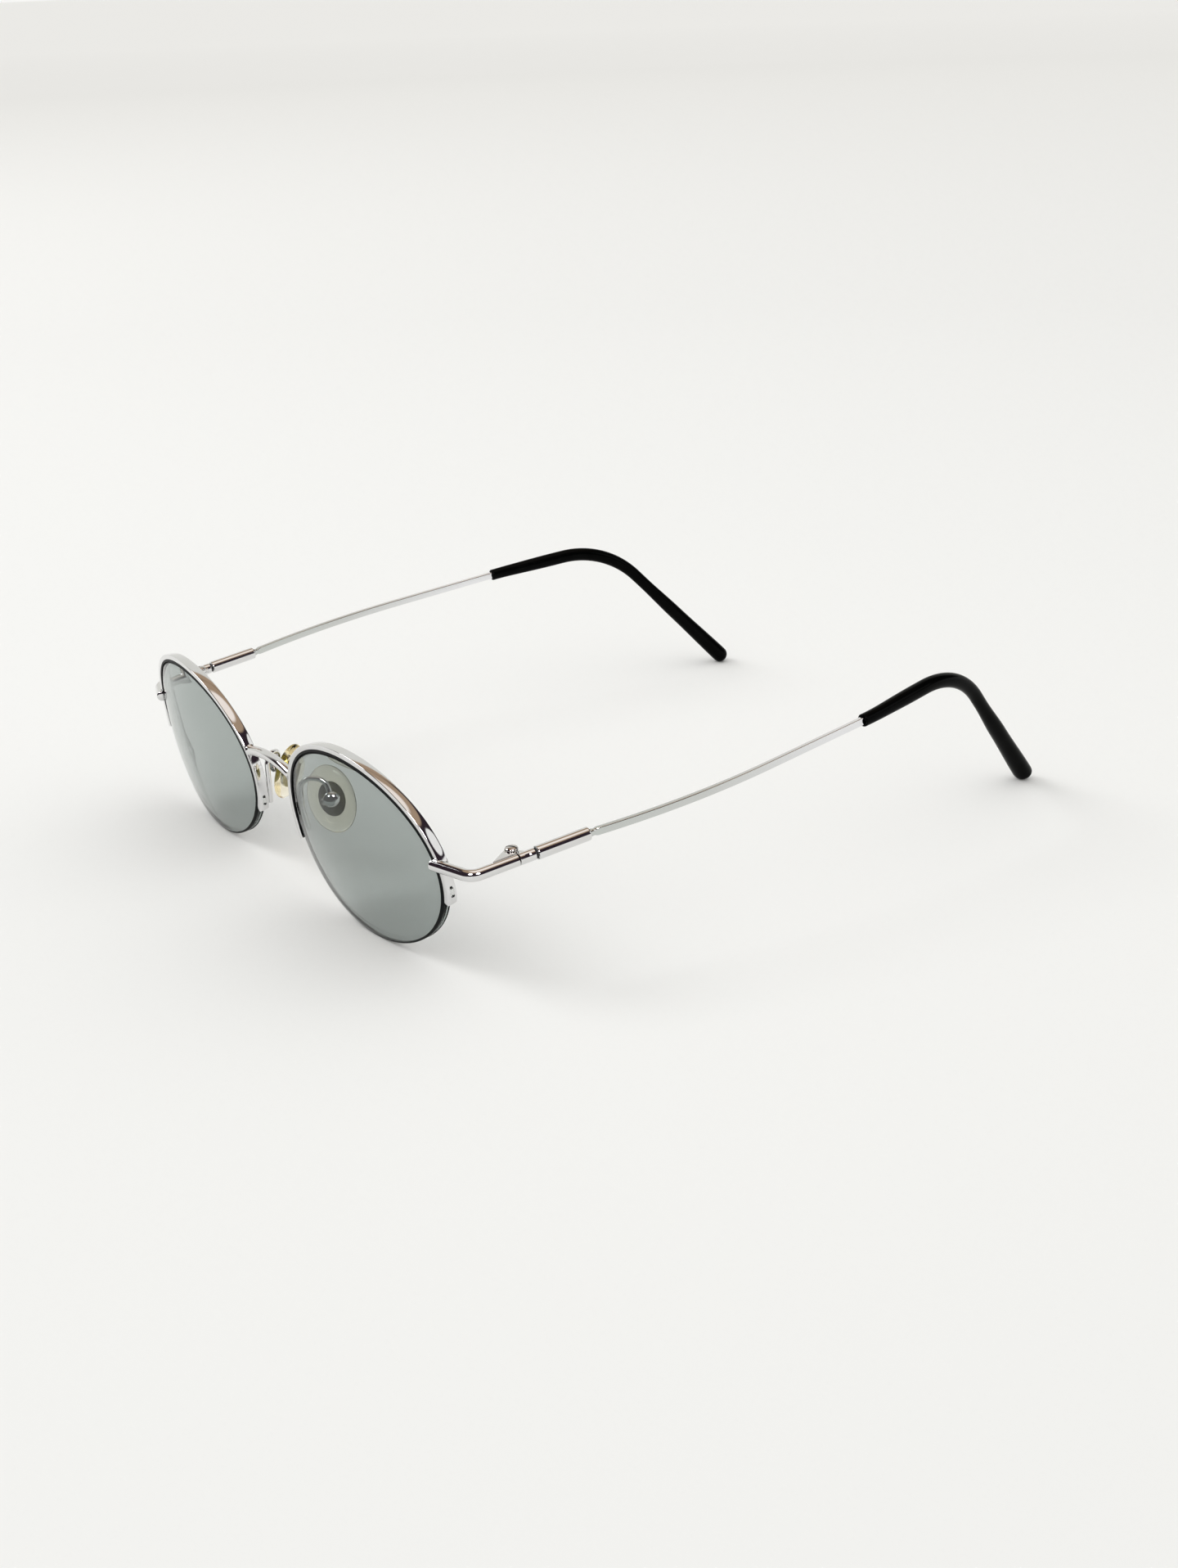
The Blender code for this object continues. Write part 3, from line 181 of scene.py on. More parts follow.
def place_ring(obj, before, ring):
    """Moves the selected points onto a ring. After an extrusion they still lie on the ring before."""
    shape = bmesh.from_edit_mesh(obj.data)
    chosen = [vertex for vertex in shape.verts if vertex.select]
    if before is None:
        for vertex, spot in zip(chosen, ring):
            vertex.co = spot
    else:
        spots = kdtree.KDTree(len(before))
        for index, spot in enumerate(before):
            spots.insert(spot, index)
        spots.balance()
        for vertex in chosen:
            vertex.co = ring[spots.find(vertex.co)[1]]
    bmesh.update_edit_mesh(obj.data)


def loft(name, rings, ends="filled"):
    """Extrudes a circle from ring to ring. Its ends are filled, or joined to each other."""
    deselect_all()
    bpy.ops.mesh.primitive_circle_add(vertices=len(rings[0]), radius=mm)
    obj = bpy.context.object
    obj.name = obj.data.name = name
    bpy.ops.object.mode_set(mode="EDIT")
    bpy.ops.mesh.select_all(action="SELECT")
    place_ring(obj, None, rings[0])
    for before, ring in zip(rings, rings[1:]):
        bpy.ops.mesh.extrude_edges_move()
        place_ring(obj, before, ring)
    if ends == "filled":
        bpy.ops.mesh.select_all(action="SELECT")
        bpy.ops.mesh.fill_holes(sides=0)
    else:
        bpy.ops.mesh.select_all(action="DESELECT")
        bpy.ops.mesh.select_non_manifold()
        bpy.ops.mesh.bridge_edge_loops()
    face_outwards()
    return obj


def round_section(radius, sides=24, flatten=1.0):
    """Points of a circle, or of an ellipse that is thinner across by the factor flatten."""
    turns = [2 * pi * (i + 0.5) / sides for i in range(sides)]
    return [(radius * flatten * cos(turn), radius * sin(turn)) for turn in turns]


def turned(name, profile, sides=32, axis="Z", centre=(0, 0, 0), ends="filled"):
    """A shape from a lathe: circles of (radius, place on the axis), lofted into one another."""
    turn = {"Z": Matrix.Identity(3), "Y": Matrix(((1, 0, 0), (0, 0, 1), (0, 1, 0))),
            "X": Matrix(((0, 0, 1), (1, 0, 0), (0, 1, 0)))}[axis]
    rings = []
    for radius, place in profile:
        section = [Vector((a, b, place)) for a, b in round_section(radius, sides)]
        rings.append([Vector(centre) + turn @ point for point in section])
    return loft(name, rings, ends)


def bar(name, radius, low, high, sides=24, axis="Z"):
    """A plain round bar on an axis, as the start of an eye or as a drill."""
    return turned(name, [(radius, low), (radius, high)], sides, axis)


def plate(name, outline, low, high):
    """A flat outline of (x, y) points, filled and pulled up from z = low to z = high."""
    deselect_all()
    bpy.ops.mesh.primitive_circle_add(vertices=len(outline), radius=mm, fill_type="NGON")
    obj = bpy.context.object
    obj.name = obj.data.name = name
    bpy.ops.object.mode_set(mode="EDIT")
    bpy.ops.mesh.select_all(action="SELECT")
    place_ring(obj, None, [Vector((x, y, low)) for x, y in outline])
    bpy.ops.mesh.extrude_region_move(TRANSFORM_OT_translate={"value": (0, 0, high - low)})
    face_outwards()
    return obj


def slab(name, low, high):
    """A cube primitive, stretched to its two corners."""
    low, high = Vector(low), Vector(high)
    deselect_all()
    bpy.ops.mesh.primitive_cube_add(size=1, location=(low + high) / 2)
    obj = bpy.context.object
    obj.name = obj.data.name = name
    obj.scale = high - low
    bpy.ops.object.transform_apply()
    return obj


print("helpers: between, loft, turned, bar, plate, slab")

# %% [markdown]
# ## Bent wires
#
# The endpiece, the pad arms and the temples are wires that were bent in a jig: straight runs with an
# arc of its own radius at each corner. The points along it are worked out from the corners and the
# radii, and the section is swept along those points.

# %% Helpers for bent wires
def bent_line(corners, radii, step=4.0):
    """Points along straight runs and arcs, with one point for each step of so many degrees."""
    corners = [Vector(corner) for corner in corners]
    line = [corners[0]]
    for before, corner, after, radius in zip(corners, corners[1:], corners[2:], radii):
        arriving, leaving = (corner - before).normalized(), (after - corner).normalized()
        turn = arriving.angle(leaving)
        if radius == 0 or turn < 1e-6:
            line.append(corner)
            continue
        inward = (leaving - arriving * arriving.dot(leaving)).normalized()
        start = corner - arriving * radius * tan(turn / 2)
        count = max(3, ceil(degrees(turn) / step))
        for angle in between(0, turn, count):
            line.append(start + arriving * radius * sin(angle)
                        + inward * radius * (1 - cos(angle)))
    line.append(corners[-1])
    return line


def distances_along(line):
    marks = [0.0]
    for near, far in zip(line, line[1:]):
        marks.append(marks[-1] + (far - near).length)
    return marks


def spot_on(line, marks, distance):
    """The point and the direction at a distance along a line. Past the end it runs straight on."""
    last = len(line) - 2
    i = 0
    while i < last and marks[i + 1] < distance - 1e-9:
        i += 1
    direction = (line[i + 1] - line[i]).normalized()
    point = line[i] + direction * (distance - marks[i])
    if i < last and abs(distance - marks[i + 1]) < 1e-8:
        direction = (direction + (line[i + 2] - line[i + 1]).normalized()).normalized()
    return point, direction


def sweep(name, line, distances, section_at, upright=False):
    """Carries a section along a line. Upright keeps it level, and otherwise it turns least."""
    marks = distances_along(line)
    rings = []
    side = None
    for distance in distances:
        point, direction = spot_on(line, marks, distance)
        if upright:
            side = direction.cross(Vector((0, 0, 1))).normalized()
        elif side is None:
            side = direction.orthogonal().normalized()
        else:
            side = (side - direction * side.dot(direction)).normalized()
        up = side.cross(direction)
        rings.append([point + side * a + up * b for a, b in section_at(distance)])
    return loft(name, rings)


def spread(marks, start, end, gap):
    """The line's own marks between start and end, with more of them where a run is long."""
    kept = [start, *(mark for mark in marks if start + 0.02 * mm < mark < end - 0.02 * mm), end]
    full = []
    for near, far in zip(kept, kept[1:]):
        count = max(1, ceil((far - near) / gap))
        full += between(near, far, count)[:-1]
    return [*full, end]


print("helpers: bent_line, sweep, spread")

# %% [markdown]
# ## Shader maths that reads like maths
#
# A finish is a sum of small effects: a haze that roughens, a grain that lifts the surface. The first
# class below wraps one output socket, so that a plus sign adds a Math node. The other one holds a
# material while it is being built.

# %% Two small classes for materials
class Wire:
    """One output socket. Each arithmetic sign on it adds a Math node."""

    def __init__(self, finish, socket):
        self.finish = finish
        self.socket = socket

    def math(self, operation, first, second):
        return self.finish.node("ShaderNodeMath", {"operation": operation}, {0: first, 1: second})

    def __add__(self, other):
        return self.math("ADD", self, other)

    def __sub__(self, other):
        return self.math("SUBTRACT", self, other)

    def __rsub__(self, other):
        return self.math("SUBTRACT", other, self)

    def __mul__(self, other):
        return self.math("MULTIPLY", self, other)

    __radd__ = __add__
    __rmul__ = __mul__


class Finish:
    """A material with one Principled shader. Keyword values are set on its sockets."""

    def __init__(self, name, **values):
        self.material = bpy.data.materials.new(name)
        self.material.use_nodes = True
        self.tree = self.material.node_tree
        self.shader = self.tree.nodes["Principled BSDF"]
        for label, value in values.items():
            self.shader.inputs[label.replace("_", " ")].default_value = value
        self.place = self.node("ShaderNodeTexCoord", output="Object")
        print("finish:", self.material.name)

    def node(self, kind, settings=None, values=None, output=0):
        """Adds a node: first its settings, then the values or links of its sockets."""
        made = self.tree.nodes.new(kind)
        for label, value in (settings or {}).items():
            if label == "stops":
                while len(made.color_ramp.elements) < len(value):
                    made.color_ramp.elements.new(1.0)
                for element, (spot, colour) in zip(made.color_ramp.elements, value):
                    element.position = spot
                    element.color = (*colour, 1.0)
            else:
                setattr(made, label, value)
        for label, value in (values or {}).items():
            if isinstance(value, Wire):
                self.tree.links.new(value.socket, made.inputs[label])
            else:
                made.inputs[label].default_value = value
        return Wire(self, made.outputs[output])

    def noise(self, scale, detail=2.0):
        values = {"Vector": self.place, "Scale": scale, "Detail": detail}
        return self.node("ShaderNodeTexNoise", None, values)

    def ramp(self, wire, *stops):
        return self.node("ShaderNodeValToRGB", {"stops": stops}, {"Fac": wire})

    def blend(self, share, first, second):
        """A colour between two colours. Colours go through Mix, because Math would turn them grey."""
        first, second = (end if isinstance(end, Wire) else (*end, 1) for end in (first, second))
        return self.node("ShaderNodeMix", {"data_type": "RGBA"}, {0: share, 6: first, 7: second}, 2)

    def feed(self, label, wire):
        self.tree.links.new(wire.socket, self.shader.inputs[label])

    def vary(self, scale, detail, first, second, smoothest, rougher):
        """Lets one noise change the colour, and the roughness together with it."""
        pattern = self.noise(scale, detail)
        self.feed("Base Color", self.blend(pattern, first, second))
        self.feed("Roughness", smoothest + rougher * pattern)
        return pattern

    def bump(self, height, strength, distance):
        values = {"Height": height, "Strength": strength, "Distance": distance}
        self.feed("Normal", self.node("ShaderNodeBump", None, values, "Normal"))


print("classes: Wire, Finish")

# %% [markdown]
# ## Chrome and steel
#
# The front and the temples are a nickel alloy, polished and plated. A mirror finish on a thin wire
# shows hardly any colour of its own. What makes it real is a faint haze from handling, a few
# millimetres across, and a very fine polishing grain. The screws are plainer, turned steel, and the
# thin strip of the temple is satin: its grain is coarser, so it reflects less sharply, and its colour
# is painted brighter towards its rear, a painted reflection. The bush in the sleeve's mouth is
# painted nearly black, painted shade that makes the hinge's ring gap black.

# %% Chrome and steel
# Nearly black steel for the sleeve bush: painted shade inside the hinge's ring gap.
bush_painted_shade = Finish("bush_steel_painted_shade", Metallic=0.8, Specular_IOR_Level=0.2)
bush_painted_shade.vary(1500, 3.0, (0.012, 0.012, 0.015), (0.030, 0.028, 0.032), 0.30, 0.20)

chrome = Finish("polished_chrome", Metallic=1.0)
handled = chrome.noise(240, 3.0)
grain = chrome.noise(5200, 2.0)
chrome.feed("Base Color", chrome.blend(handled, (0.76, 0.765, 0.78), (0.70, 0.69, 0.675)))
chrome.feed("Roughness", 0.035 + 0.07 * handled * handled + 0.03 * grain)
chrome.bump(grain, 0.10, 0.004 * mm)

steel = Finish("turned_steel", Metallic=1.0)
tool_marks = steel.vary(3800, 4.0, (0.50, 0.48, 0.47), (0.62, 0.60, 0.58), 0.02, 0.05)
steel.bump(tool_marks, 0.15, 0.006 * mm)

satin = Finish("satin_chrome", Metallic=1.0)
brushed = satin.noise(3400, 3.0)
metres_back = satin.node("ShaderNodeSeparateXYZ", None, {0: satin.place}, 1)
# The colour grades from darker grey at the front to brighter at the rear: a painted reflection.
painted_reflection_along = 10 * metres_back + 0.45 + 0.10 * brushed
painted_reflection_greys = ((0.10, (0.58, 0.60, 0.585)), (0.30, (0.62, 0.63, 0.62)), (0.60, (0.83, 0.83, 0.85)))
satin.feed("Base Color", satin.ramp(painted_reflection_along, *painted_reflection_greys))
satin.feed("Roughness", 0.08 + 0.08 * brushed)
satin.bump(brushed, 0.15, 0.006 * mm)

# %% [markdown]
# ## Lens, its ground edge, the line and the liner
#
# The lens is clear plastic with a grey-green dye through it, so light is coloured on its way through
# and the surface stays glossy. Light passes the front and the back, and the shader takes the square
# root of the colour at each, so the colour written is what comes out behind. A low index stands for
# the coating that keeps reflections faint. The edge and its bevels are ground, not polished: they
# look dull, and their near-black colour is painted shade for the dark line under the rim. The nylon
# line is clear but soft, and the liner is black.

# %% Lens finishes
lens_tint = Finish("grey_green_lens", Transmission_Weight=1.0, IOR=1.22)
smudges = lens_tint.noise(90, 2.0)
lens_tint.feed("Base Color", lens_tint.blend(smudges, (0.388, 0.428, 0.416), (0.410, 0.450, 0.438)))
lens_tint.feed("Roughness", 0.012 * smudges * smudges)

# The ground edge is painted nearly black: painted shade for the dark line under the rim.
edge_painted_shade = Finish("lens_edge_painted_shade", Specular_IOR_Level=0.06)
wheel_marks = edge_painted_shade.vary(2600, 3.0, (0.003, 0.004, 0.004), (0.010, 0.011, 0.011), 0.35, 0.25)
edge_painted_shade.bump(wheel_marks, 0.3, 0.01 * mm)

clear_nylon = Finish("clear_nylon", Transmission_Weight=1.0, IOR=1.25)
clear_nylon.vary(1900, 2.0, (0.88, 0.90, 0.89), (0.95, 0.96, 0.94), 0.05, 0.08)

black_liner = Finish("black_liner", Specular_IOR_Level=0.06)
moulded = black_liner.vary(2400, 3.0, (0.002, 0.002, 0.003), (0.006, 0.006, 0.007), 0.32, 0.25)
black_liner.bump(moulded, 0.2, 0.01 * mm)

# %% [markdown]
# ## Silicone, the core inside it, and the black tips
#
# Nose pads are moulded clear and turn amber with age. The colour lies in the depth: a pad looks
# nearly clear face on and golden along its edge. Absorption inside the solid does just that, which a
# surface colour can't. The tips are black plastic with a wet-looking gloss over a faint ripple.

# %% Silicone, core and tip finishes
silicone = Finish("amber_silicone", Transmission_Weight=1.0, IOR=1.25)
bloom = silicone.vary(700, 3.0, (0.95, 0.93, 0.86), (0.99, 0.97, 0.92), 0.02, 0.06)
silicone.bump(bloom, 0.15, 0.02 * mm)
amber = {"Color": (0.99, 0.82, 0.30, 1), "Density": 105}
depth = silicone.node("ShaderNodeVolumeAbsorption", None, amber, "Volume")
silicone.tree.links.new(depth.socket, silicone.tree.nodes["Material Output"].inputs["Volume"])

olive_core = Finish("olive_core", Metallic=0.9)
olive_core.vary(1600, 3.0, (0.17, 0.16, 0.030), (0.25, 0.23, 0.050), 0.14, 0.12)

black_tip = Finish("black_tip", Coat_Roughness=0.04, Specular_IOR_Level=0.02)
ripple = black_tip.noise(420, 2.0)
fine = black_tip.noise(4200, 2.0)
blacks = (0.0006, 0.0007, 0.0007), (0.0018, 0.0020, 0.0018)
black_tip.feed("Base Color", black_tip.blend(ripple, *blacks))
black_tip.feed("Roughness", 0.10 + 0.10 * ripple + 0.04 * fine)
black_tip.feed("Coat Weight", 0.01 + 0.03 * ripple)
black_tip.bump(ripple, 0.12, 0.05 * mm)

# %% [markdown]
# ## One side and its mirror image
#
# Every piece but the bridge comes in a pair. The left one is finished, duplicated and scaled by -1
# across the face. That turns its faces inside out, so their normals are worked out again. Then both
# ride on their bodies and stand for their plain solids.

# %% Helper that finishes a pair
def mirrored_copy(obj):
    make_active(obj)
    bpy.ops.object.duplicate()
    twin = bpy.context.object
    bpy.ops.transform.resize(value=(-1, 1, 1), center_override=(0, 0, 0))
    bpy.ops.object.transform_apply()
    bpy.ops.object.mode_set(mode="EDIT")
    face_outwards()
    return twin


def finish_one(obj, node, body, finish, angle=38):
    """Names, finishes and smooths a piece, which then stands for its plain solid."""
    make_active(obj)
    obj.name = obj.data.name = f"fine_{node}"
    if not obj.data.materials:
        obj.data.materials.append(finish.material)
    bpy.ops.object.shade_smooth_by_angle(angle=radians(angle))
    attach(obj, body)
    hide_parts(node)


def finish_pair(obj, place, body, finish, angle=38):
    """Sets the left piece in place and mirrors it. Body says side where each side has its own."""
    part = obj.name
    twin = mirrored_copy(set_in_place(obj, place))
    for piece, side in ((obj, "left"), (twin, "right")):
        finish_one(piece, f"{part}_{side}", body.replace("side", side), finish, angle)
    low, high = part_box(f"{part}_left")
    faces, diagonal = len(obj.data.polygons), (high - low).length / mm
    print(f"{part}: {faces} faces each, plain solid {diagonal:.1f} mm corner to corner")


print("helpers: mirrored_copy, finish_one, finish_pair")

# %% [markdown]
# ## The lens
#
# The lens is a low ellipse, 46 by 33.4 mm and 1.6 mm thick, cut from a blank that is part of a large
# sphere. It wraps a little round the face and leans in at the bottom. A groove runs round its edge,
# for the line. One loft makes all of it: out along the front, over the edge, and back behind.

# %% Lens sizes and its frame
lens_width, lens_height, lens_thickness = 46.0 * mm, 33.4 * mm, 1.6 * mm
dome_radius = 71.0 * mm
groove_half, groove_depth = 0.35 * mm, 0.5 * mm
lens_place = frame_at((31.45, -70.6733, 16.3228), 3.8, 6.9)


def on_dome(x, z, depth):
    return Vector((x, (x * x + z * z) / (2 * dome_radius) + depth, z))


def edge_normal(angle):
    turn = radians(angle)
    return Vector((cos(turn) / lens_width, 0, sin(turn) / lens_height)).normalized()


def lens_edge(angle, outward=0.0, depth=0.0):
    """A point by the lens's edge: outward from it, and back from its front corner."""
    turn = radians(angle)
    x, z = lens_width / 2 * cos(turn), lens_height / 2 * sin(turn)
    return on_dome(x, z, depth) + edge_normal(angle) * outward


def lens_ring(share, outward, depth, sides=112):
    ring = [lens_edge(360 * i / sides, outward, depth) for i in range(sides)]
    if share < 1:
        ring = [on_dome(point.x * share, point.z * share, depth) for point in ring]
    return ring


print(f"lens frame at {tuple(round(v / mm, 2) for v in lens_place.translation)} mm")

# %% Lens
shares = (0.012, 0.12, 0.26, 0.40, 0.54, 0.66, 0.77, 0.86, 0.93, 0.98)
middle, bevel = lens_thickness / 2, 0.14 * mm
rings = [lens_ring(share, 0, 0) for share in shares]
rings += [lens_ring(1, out * mm, down) for out, down in (
    (-0.20, 0), (0, bevel), (0, middle - groove_half), (-groove_depth / mm, middle - groove_half),
    (-groove_depth / mm, middle + groove_half), (0, middle + groove_half),
    (0, lens_thickness - bevel), (-0.14, lens_thickness))]
rings += [lens_ring(share, 0, lens_thickness) for share in reversed(shares)]
lens = loft("lens", rings)
lens.data.materials.append(lens_tint.material)
lens.data.materials.append(edge_painted_shade.material)

# The faces of the edge and its bevels get the ground finish, painted nearly black as shade. The
# reach is 1/4 right at the edge.
edge_reach, bevel_reach, bevel_normal = 0.2495, 0.235, 0.88
for face in lens.data.polygons:
    reach = (face.center.x / lens_width) ** 2 + (face.center.z / lens_height) ** 2
    tilted = abs(face.normal.y) < bevel_normal and reach > bevel_reach
    face.material_index = int(reach > edge_reach or tilted)
print("edge faces:", sum(face.material_index == 1 for face in lens.data.polygons))
finish_pair(lens, lens_place, "front", lens_tint)

# %% [markdown]
# ## The half rim
#
# A half rim is a wire with a groove rolled in its inner face, bent over the top of the lens. Its
# broad outer face is the silver band in the photograph. At each end it swells into a lug with two
# small holes for the nylon line. The section is lofted round the lens, its edges are softened, and
# the holes are drilled last, so that they stay crisp.

# %% Half rim
rim_gap, rim_wall, rim_depth, rim_crown = 0.45 * mm, 0.95 * mm, 1.9 * mm, 0.22 * mm
rim_groove, crown_ahead, rim_steps = 0.40 * mm, 0.6, 105
temple_end, nose_end = -10.3, 199.7
lug_length, lug_ramp, lug_swell = 11.0, 3.0, 0.20 * mm
lower_hole, upper_hole, hole_radius, hole_length = 5.0, 9.6, 0.29 * mm, 2.0 * mm
rim_front = (lens_thickness - rim_depth) / 2


def rim_outside(angle):
    from_end = min(angle - temple_end, nose_end - angle)
    return rim_gap + rim_wall + lug_swell * min(1.0, max(0.0, (lug_length - from_end) / lug_ramp))


def rim_ring(angle):
    """The outer face is a low crown, highest near its front."""
    outer, rim_back = rim_outside(angle), rim_front + rim_depth
    floor = rim_gap + rim_groove
    corners = [(rim_gap, rim_front)]
    for share in (-1.0, -0.75, -0.5, -0.25, 0.0, 0.25, 0.5, 0.75, 1.0):
        fall = rim_crown * ((share + crown_ahead) / (1 + crown_ahead)) ** 2
        corners.append((outer - fall, middle + share * rim_depth / 2))
    corners += [(rim_gap, rim_back), (rim_gap, middle + groove_half), (floor, middle + groove_half),
                (floor, middle - groove_half), (rim_gap, middle - groove_half)]
    return [lens_edge(angle, outward, down) for outward, down in corners]


rim = loft("half_rim", [rim_ring(angle) for angle in between(temple_end, nose_end, rim_steps)])
soften_edges(rim, 0.10 * mm, 3)
temple_low, temple_high = temple_end + lower_hole, temple_end + upper_hole
nose_low, nose_high = nose_end - lower_hole, nose_end - upper_hole
for angle in (temple_low, temple_high, nose_low, nose_high):
    turn = edge_normal(angle).to_track_quat("Z", "Y").to_euler()
    start = lens_edge(angle, rim_gap + rim_groove / 2 + hole_length / 2, middle)
    deselect_all()
    bpy.ops.mesh.primitive_cylinder_add(
        vertices=20, radius=hole_radius, depth=hole_length, location=start, rotation=turn)
    drill = bpy.context.object
    bpy.ops.object.transform_apply()
    cut_away(rim, drill)
finish_pair(rim, lens_place, "front", chrome, 30)

# %% [markdown]
# ## The liner and the line
#
# Between the lens and the rim lies a black strip with two ribs, one in each groove. It is squeezed
# out until it is almost level with the rim's front: that is the dark line under the silver. Below
# the lugs there is no rim. A nylon line runs out through a lug's upper hole, in through its lower
# hole, and round the lens in its groove. It is one thin wire, so it is swept like one.

# %% Liner and nylon line
fit = 0.05 * mm
rib = groove_half - fit
liner_half, liner_front = lens_thickness / 2 - fit, -rim_depth / 2 + 0.04 * mm
liner_short, liner_steps = 2.5, 93


def liner_ring(angle):
    outside, inside = rim_gap - fit, fit
    corners = ((0, liner_front), (rim_gap, liner_front), (outside, -rib), (outside + rim_groove, -rib),
               (outside + rim_groove, rib), (outside, rib), (outside, liner_half),
               (inside, liner_half), (inside, rib), (inside - groove_depth, rib),
               (inside - groove_depth, -rib), (inside, -rib))
    return [lens_edge(angle, outward, middle + down) for outward, down in corners]


angles = between(temple_high + liner_short, nose_high - liner_short, liner_steps)
liner = loft("rim_liner", [liner_ring(angle) for angle in angles])
finish_pair(liner, lens_place, "front", black_liner)

line_radius, bend = 0.22 * mm, 0.32 * mm
in_rim, in_lens = rim_gap + rim_groove / 2, line_radius + fit - groove_depth
outside = rim_gap + rim_wall + lug_swell + line_radius + fit
lowest = nose_low - 360 + 1.2
below = [angle for angle in (temple_low - 2.5 * i for i in range(1, 64)) if angle > lowest]
stops = [(temple_high, in_rim), (temple_high, outside), (temple_low, outside), (temple_low, in_lens)]
stops += [(angle, in_lens) for angle in below]
stops += [(nose_low, in_lens), (nose_low, outside), (nose_high, outside), (nose_high, in_rim)]
corners = [lens_edge(angle, outward, middle) for angle, outward in stops]
route = bent_line(corners, [bend] * 3 + [0] * len(below) + [bend] * 3, 12)
line_section = round_section(line_radius, 12)
line = sweep("nylon_line", route, distances_along(route), lambda distance: line_section)
finish_pair(line, lens_place, "front", clear_nylon, 60)

# %% [markdown]
# ## The bridge
#
# The bridge is one round wire with a slight arch, brazed between the two rims. Molten solder climbs
# a little way up the wire, so it flares by a tenth of a millimetre where it meets the rim.

# %% Bridge
bridge_seat = lens_place @ lens_edge(161.5, rim_gap + rim_wall + fit, middle)
bridge_rise, bridge_radius, arch_steps = 1.0 * mm, 0.92 * mm, 48
flare_length, flare_height, flare_step, bridge_sink = 0.7 * mm, 0.10 * mm, 0.12 * mm, 0.25 * mm
arch = []
for share in between(-1, 1, arch_steps):
    rise = bridge_rise * (1 - share * share)
    arch.append(Vector((bridge_seat.x * share, bridge_seat.y, bridge_seat.z + rise)))
marks = distances_along(arch)


def bridge_section(distance):
    from_end = min(distance, marks[-1] - distance)
    flare = max(0.0, 1 - from_end / flare_length) ** 2
    return round_section(bridge_radius + flare_height * flare, 32)


stations = [-bridge_sink, 0, *(flare_step * i for i in range(1, 7)), *marks[3:-3]]
stations += [marks[-1] - flare_step * i for i in range(6, 0, -1)] + [marks[-1], marks[-1] + bridge_sink]
bridge = sweep("bridge", arch, sorted(stations), bridge_section, upright=True)
finish_one(bridge, "bridge", "front", chrome)
print(f"bridge: {marks[-1] / mm:.1f} mm along its middle, {len(bridge.data.polygons)} faces")

# %% [markdown]
# ## The endpiece
#
# A thick round rod starts on the front of the rim, runs outward, turns the corner with a tight bend
# and ends at the hinge's seam. It is swept in one go. Then the rim's own space is cut out of it, and
# so is the disc in which the temple's eye swings.

# %% Endpiece
rod_radius, seam_gap, seam_chamfer, nose_round = 1.02 * mm, 0.20 * mm, 0.06 * mm, 0.22 * mm
rod_corners = ((53.4078, -66.6686, 20.6508), (61.1578, -63.8686, 20.2508), (61.6005, -55.4207, 21.0802))
rod_line = bent_line([Vector(corner) * mm for corner in rod_corners], [2.6 * mm], 4)
marks = distances_along(rod_line)
rod_end = marks[-1] - seam_gap / 2


def rod_section(distance):
    start_round = max(0.0, 1 - distance / nose_round)
    end_round = max(0.0, 1 - (rod_end - distance) / seam_chamfer)
    return round_section(rod_radius - nose_round * start_round ** 2 - seam_chamfer * end_round, 40)


stations = [0, 0.05 * mm, 0.12 * mm, nose_round]
stations += [*spread(marks, 0.4 * mm, rod_end - seam_chamfer, 0.5 * mm), rod_end]
rod = sweep("endpiece", rod_line, stations, rod_section, upright=True)


def envelope_ring(angle):
    """The space that the rim and what lies inside it take up, to be cut out of the rod."""
    front, outer = rim_front - fit, rim_gap + rim_wall + fit
    corners = ((-4 * mm, front), (outer, front), (outer, front + 6 * mm), (-4 * mm, front + 6 * mm))
    return [lens_edge(angle, outward, down) for outward, down in corners]


envelope = loft("envelope", [envelope_ring(-2.8 + 2.5 * i) for i in range(16)])
cut_away(rod, set_in_place(envelope, lens_place))
hinge_place = frame_at((59.7031, -55.3213, 21.0802), -3.0, 5.6)
ear_radius, ear_thickness, eye_thickness = 1.15 * mm, 0.58 * mm, 1.0 * mm
swing = ear_radius + 0.10 * mm
slot_half = eye_thickness / 2 + 0.08 * mm
swing_disc = bar("swing_disc", swing, -slot_half, slot_half, 40)
cut_away(rod, set_in_place(swing_disc, hinge_place))
finish_pair(rod, Matrix(), "front", chrome, 32)

# %% [markdown]
# ## The hinge
#
# Two ears on the endpiece hold the temple's eye between them, and a screw goes through all three.
# Everything here is modelled around the screw's axis: X points away from the head, Y back along the
# sleeve and Z up the screw. Only at the end is it set in place. The ears are a filled outline, pulled
# up and slotted.

# %% Front hinge
offset = 1.90 * mm
foot = Vector((offset - rod_radius * 0.1, -4.5 * mm))
first = atan2(foot.y, foot.x) - acos(ear_radius / foot.length)
last = asin(seam_gap / 2 / ear_radius) - 2 * pi - radians(3)
outline = [tuple(foot)]
for turn in between(first, last, 32):
    outline.append((ear_radius * cos(turn), ear_radius * sin(turn)))
outline.append((foot.x, -seam_gap))
ear_top = slot_half + ear_thickness
ears = plate("front_hinge", outline, -ear_top, ear_top)
soften_edges(ears, 0.09 * mm, 3, 40)
cut_away(ears, slab("slot", (-4 * mm, -swing, -slot_half), (4 * mm, 4 * mm, slot_half)))
screw_radius = 0.50 * mm
cut_away(ears, bar("bore", screw_radius + fit, -3 * mm, 3 * mm))
finish_pair(ears, hinge_place, "front", chrome, 32)

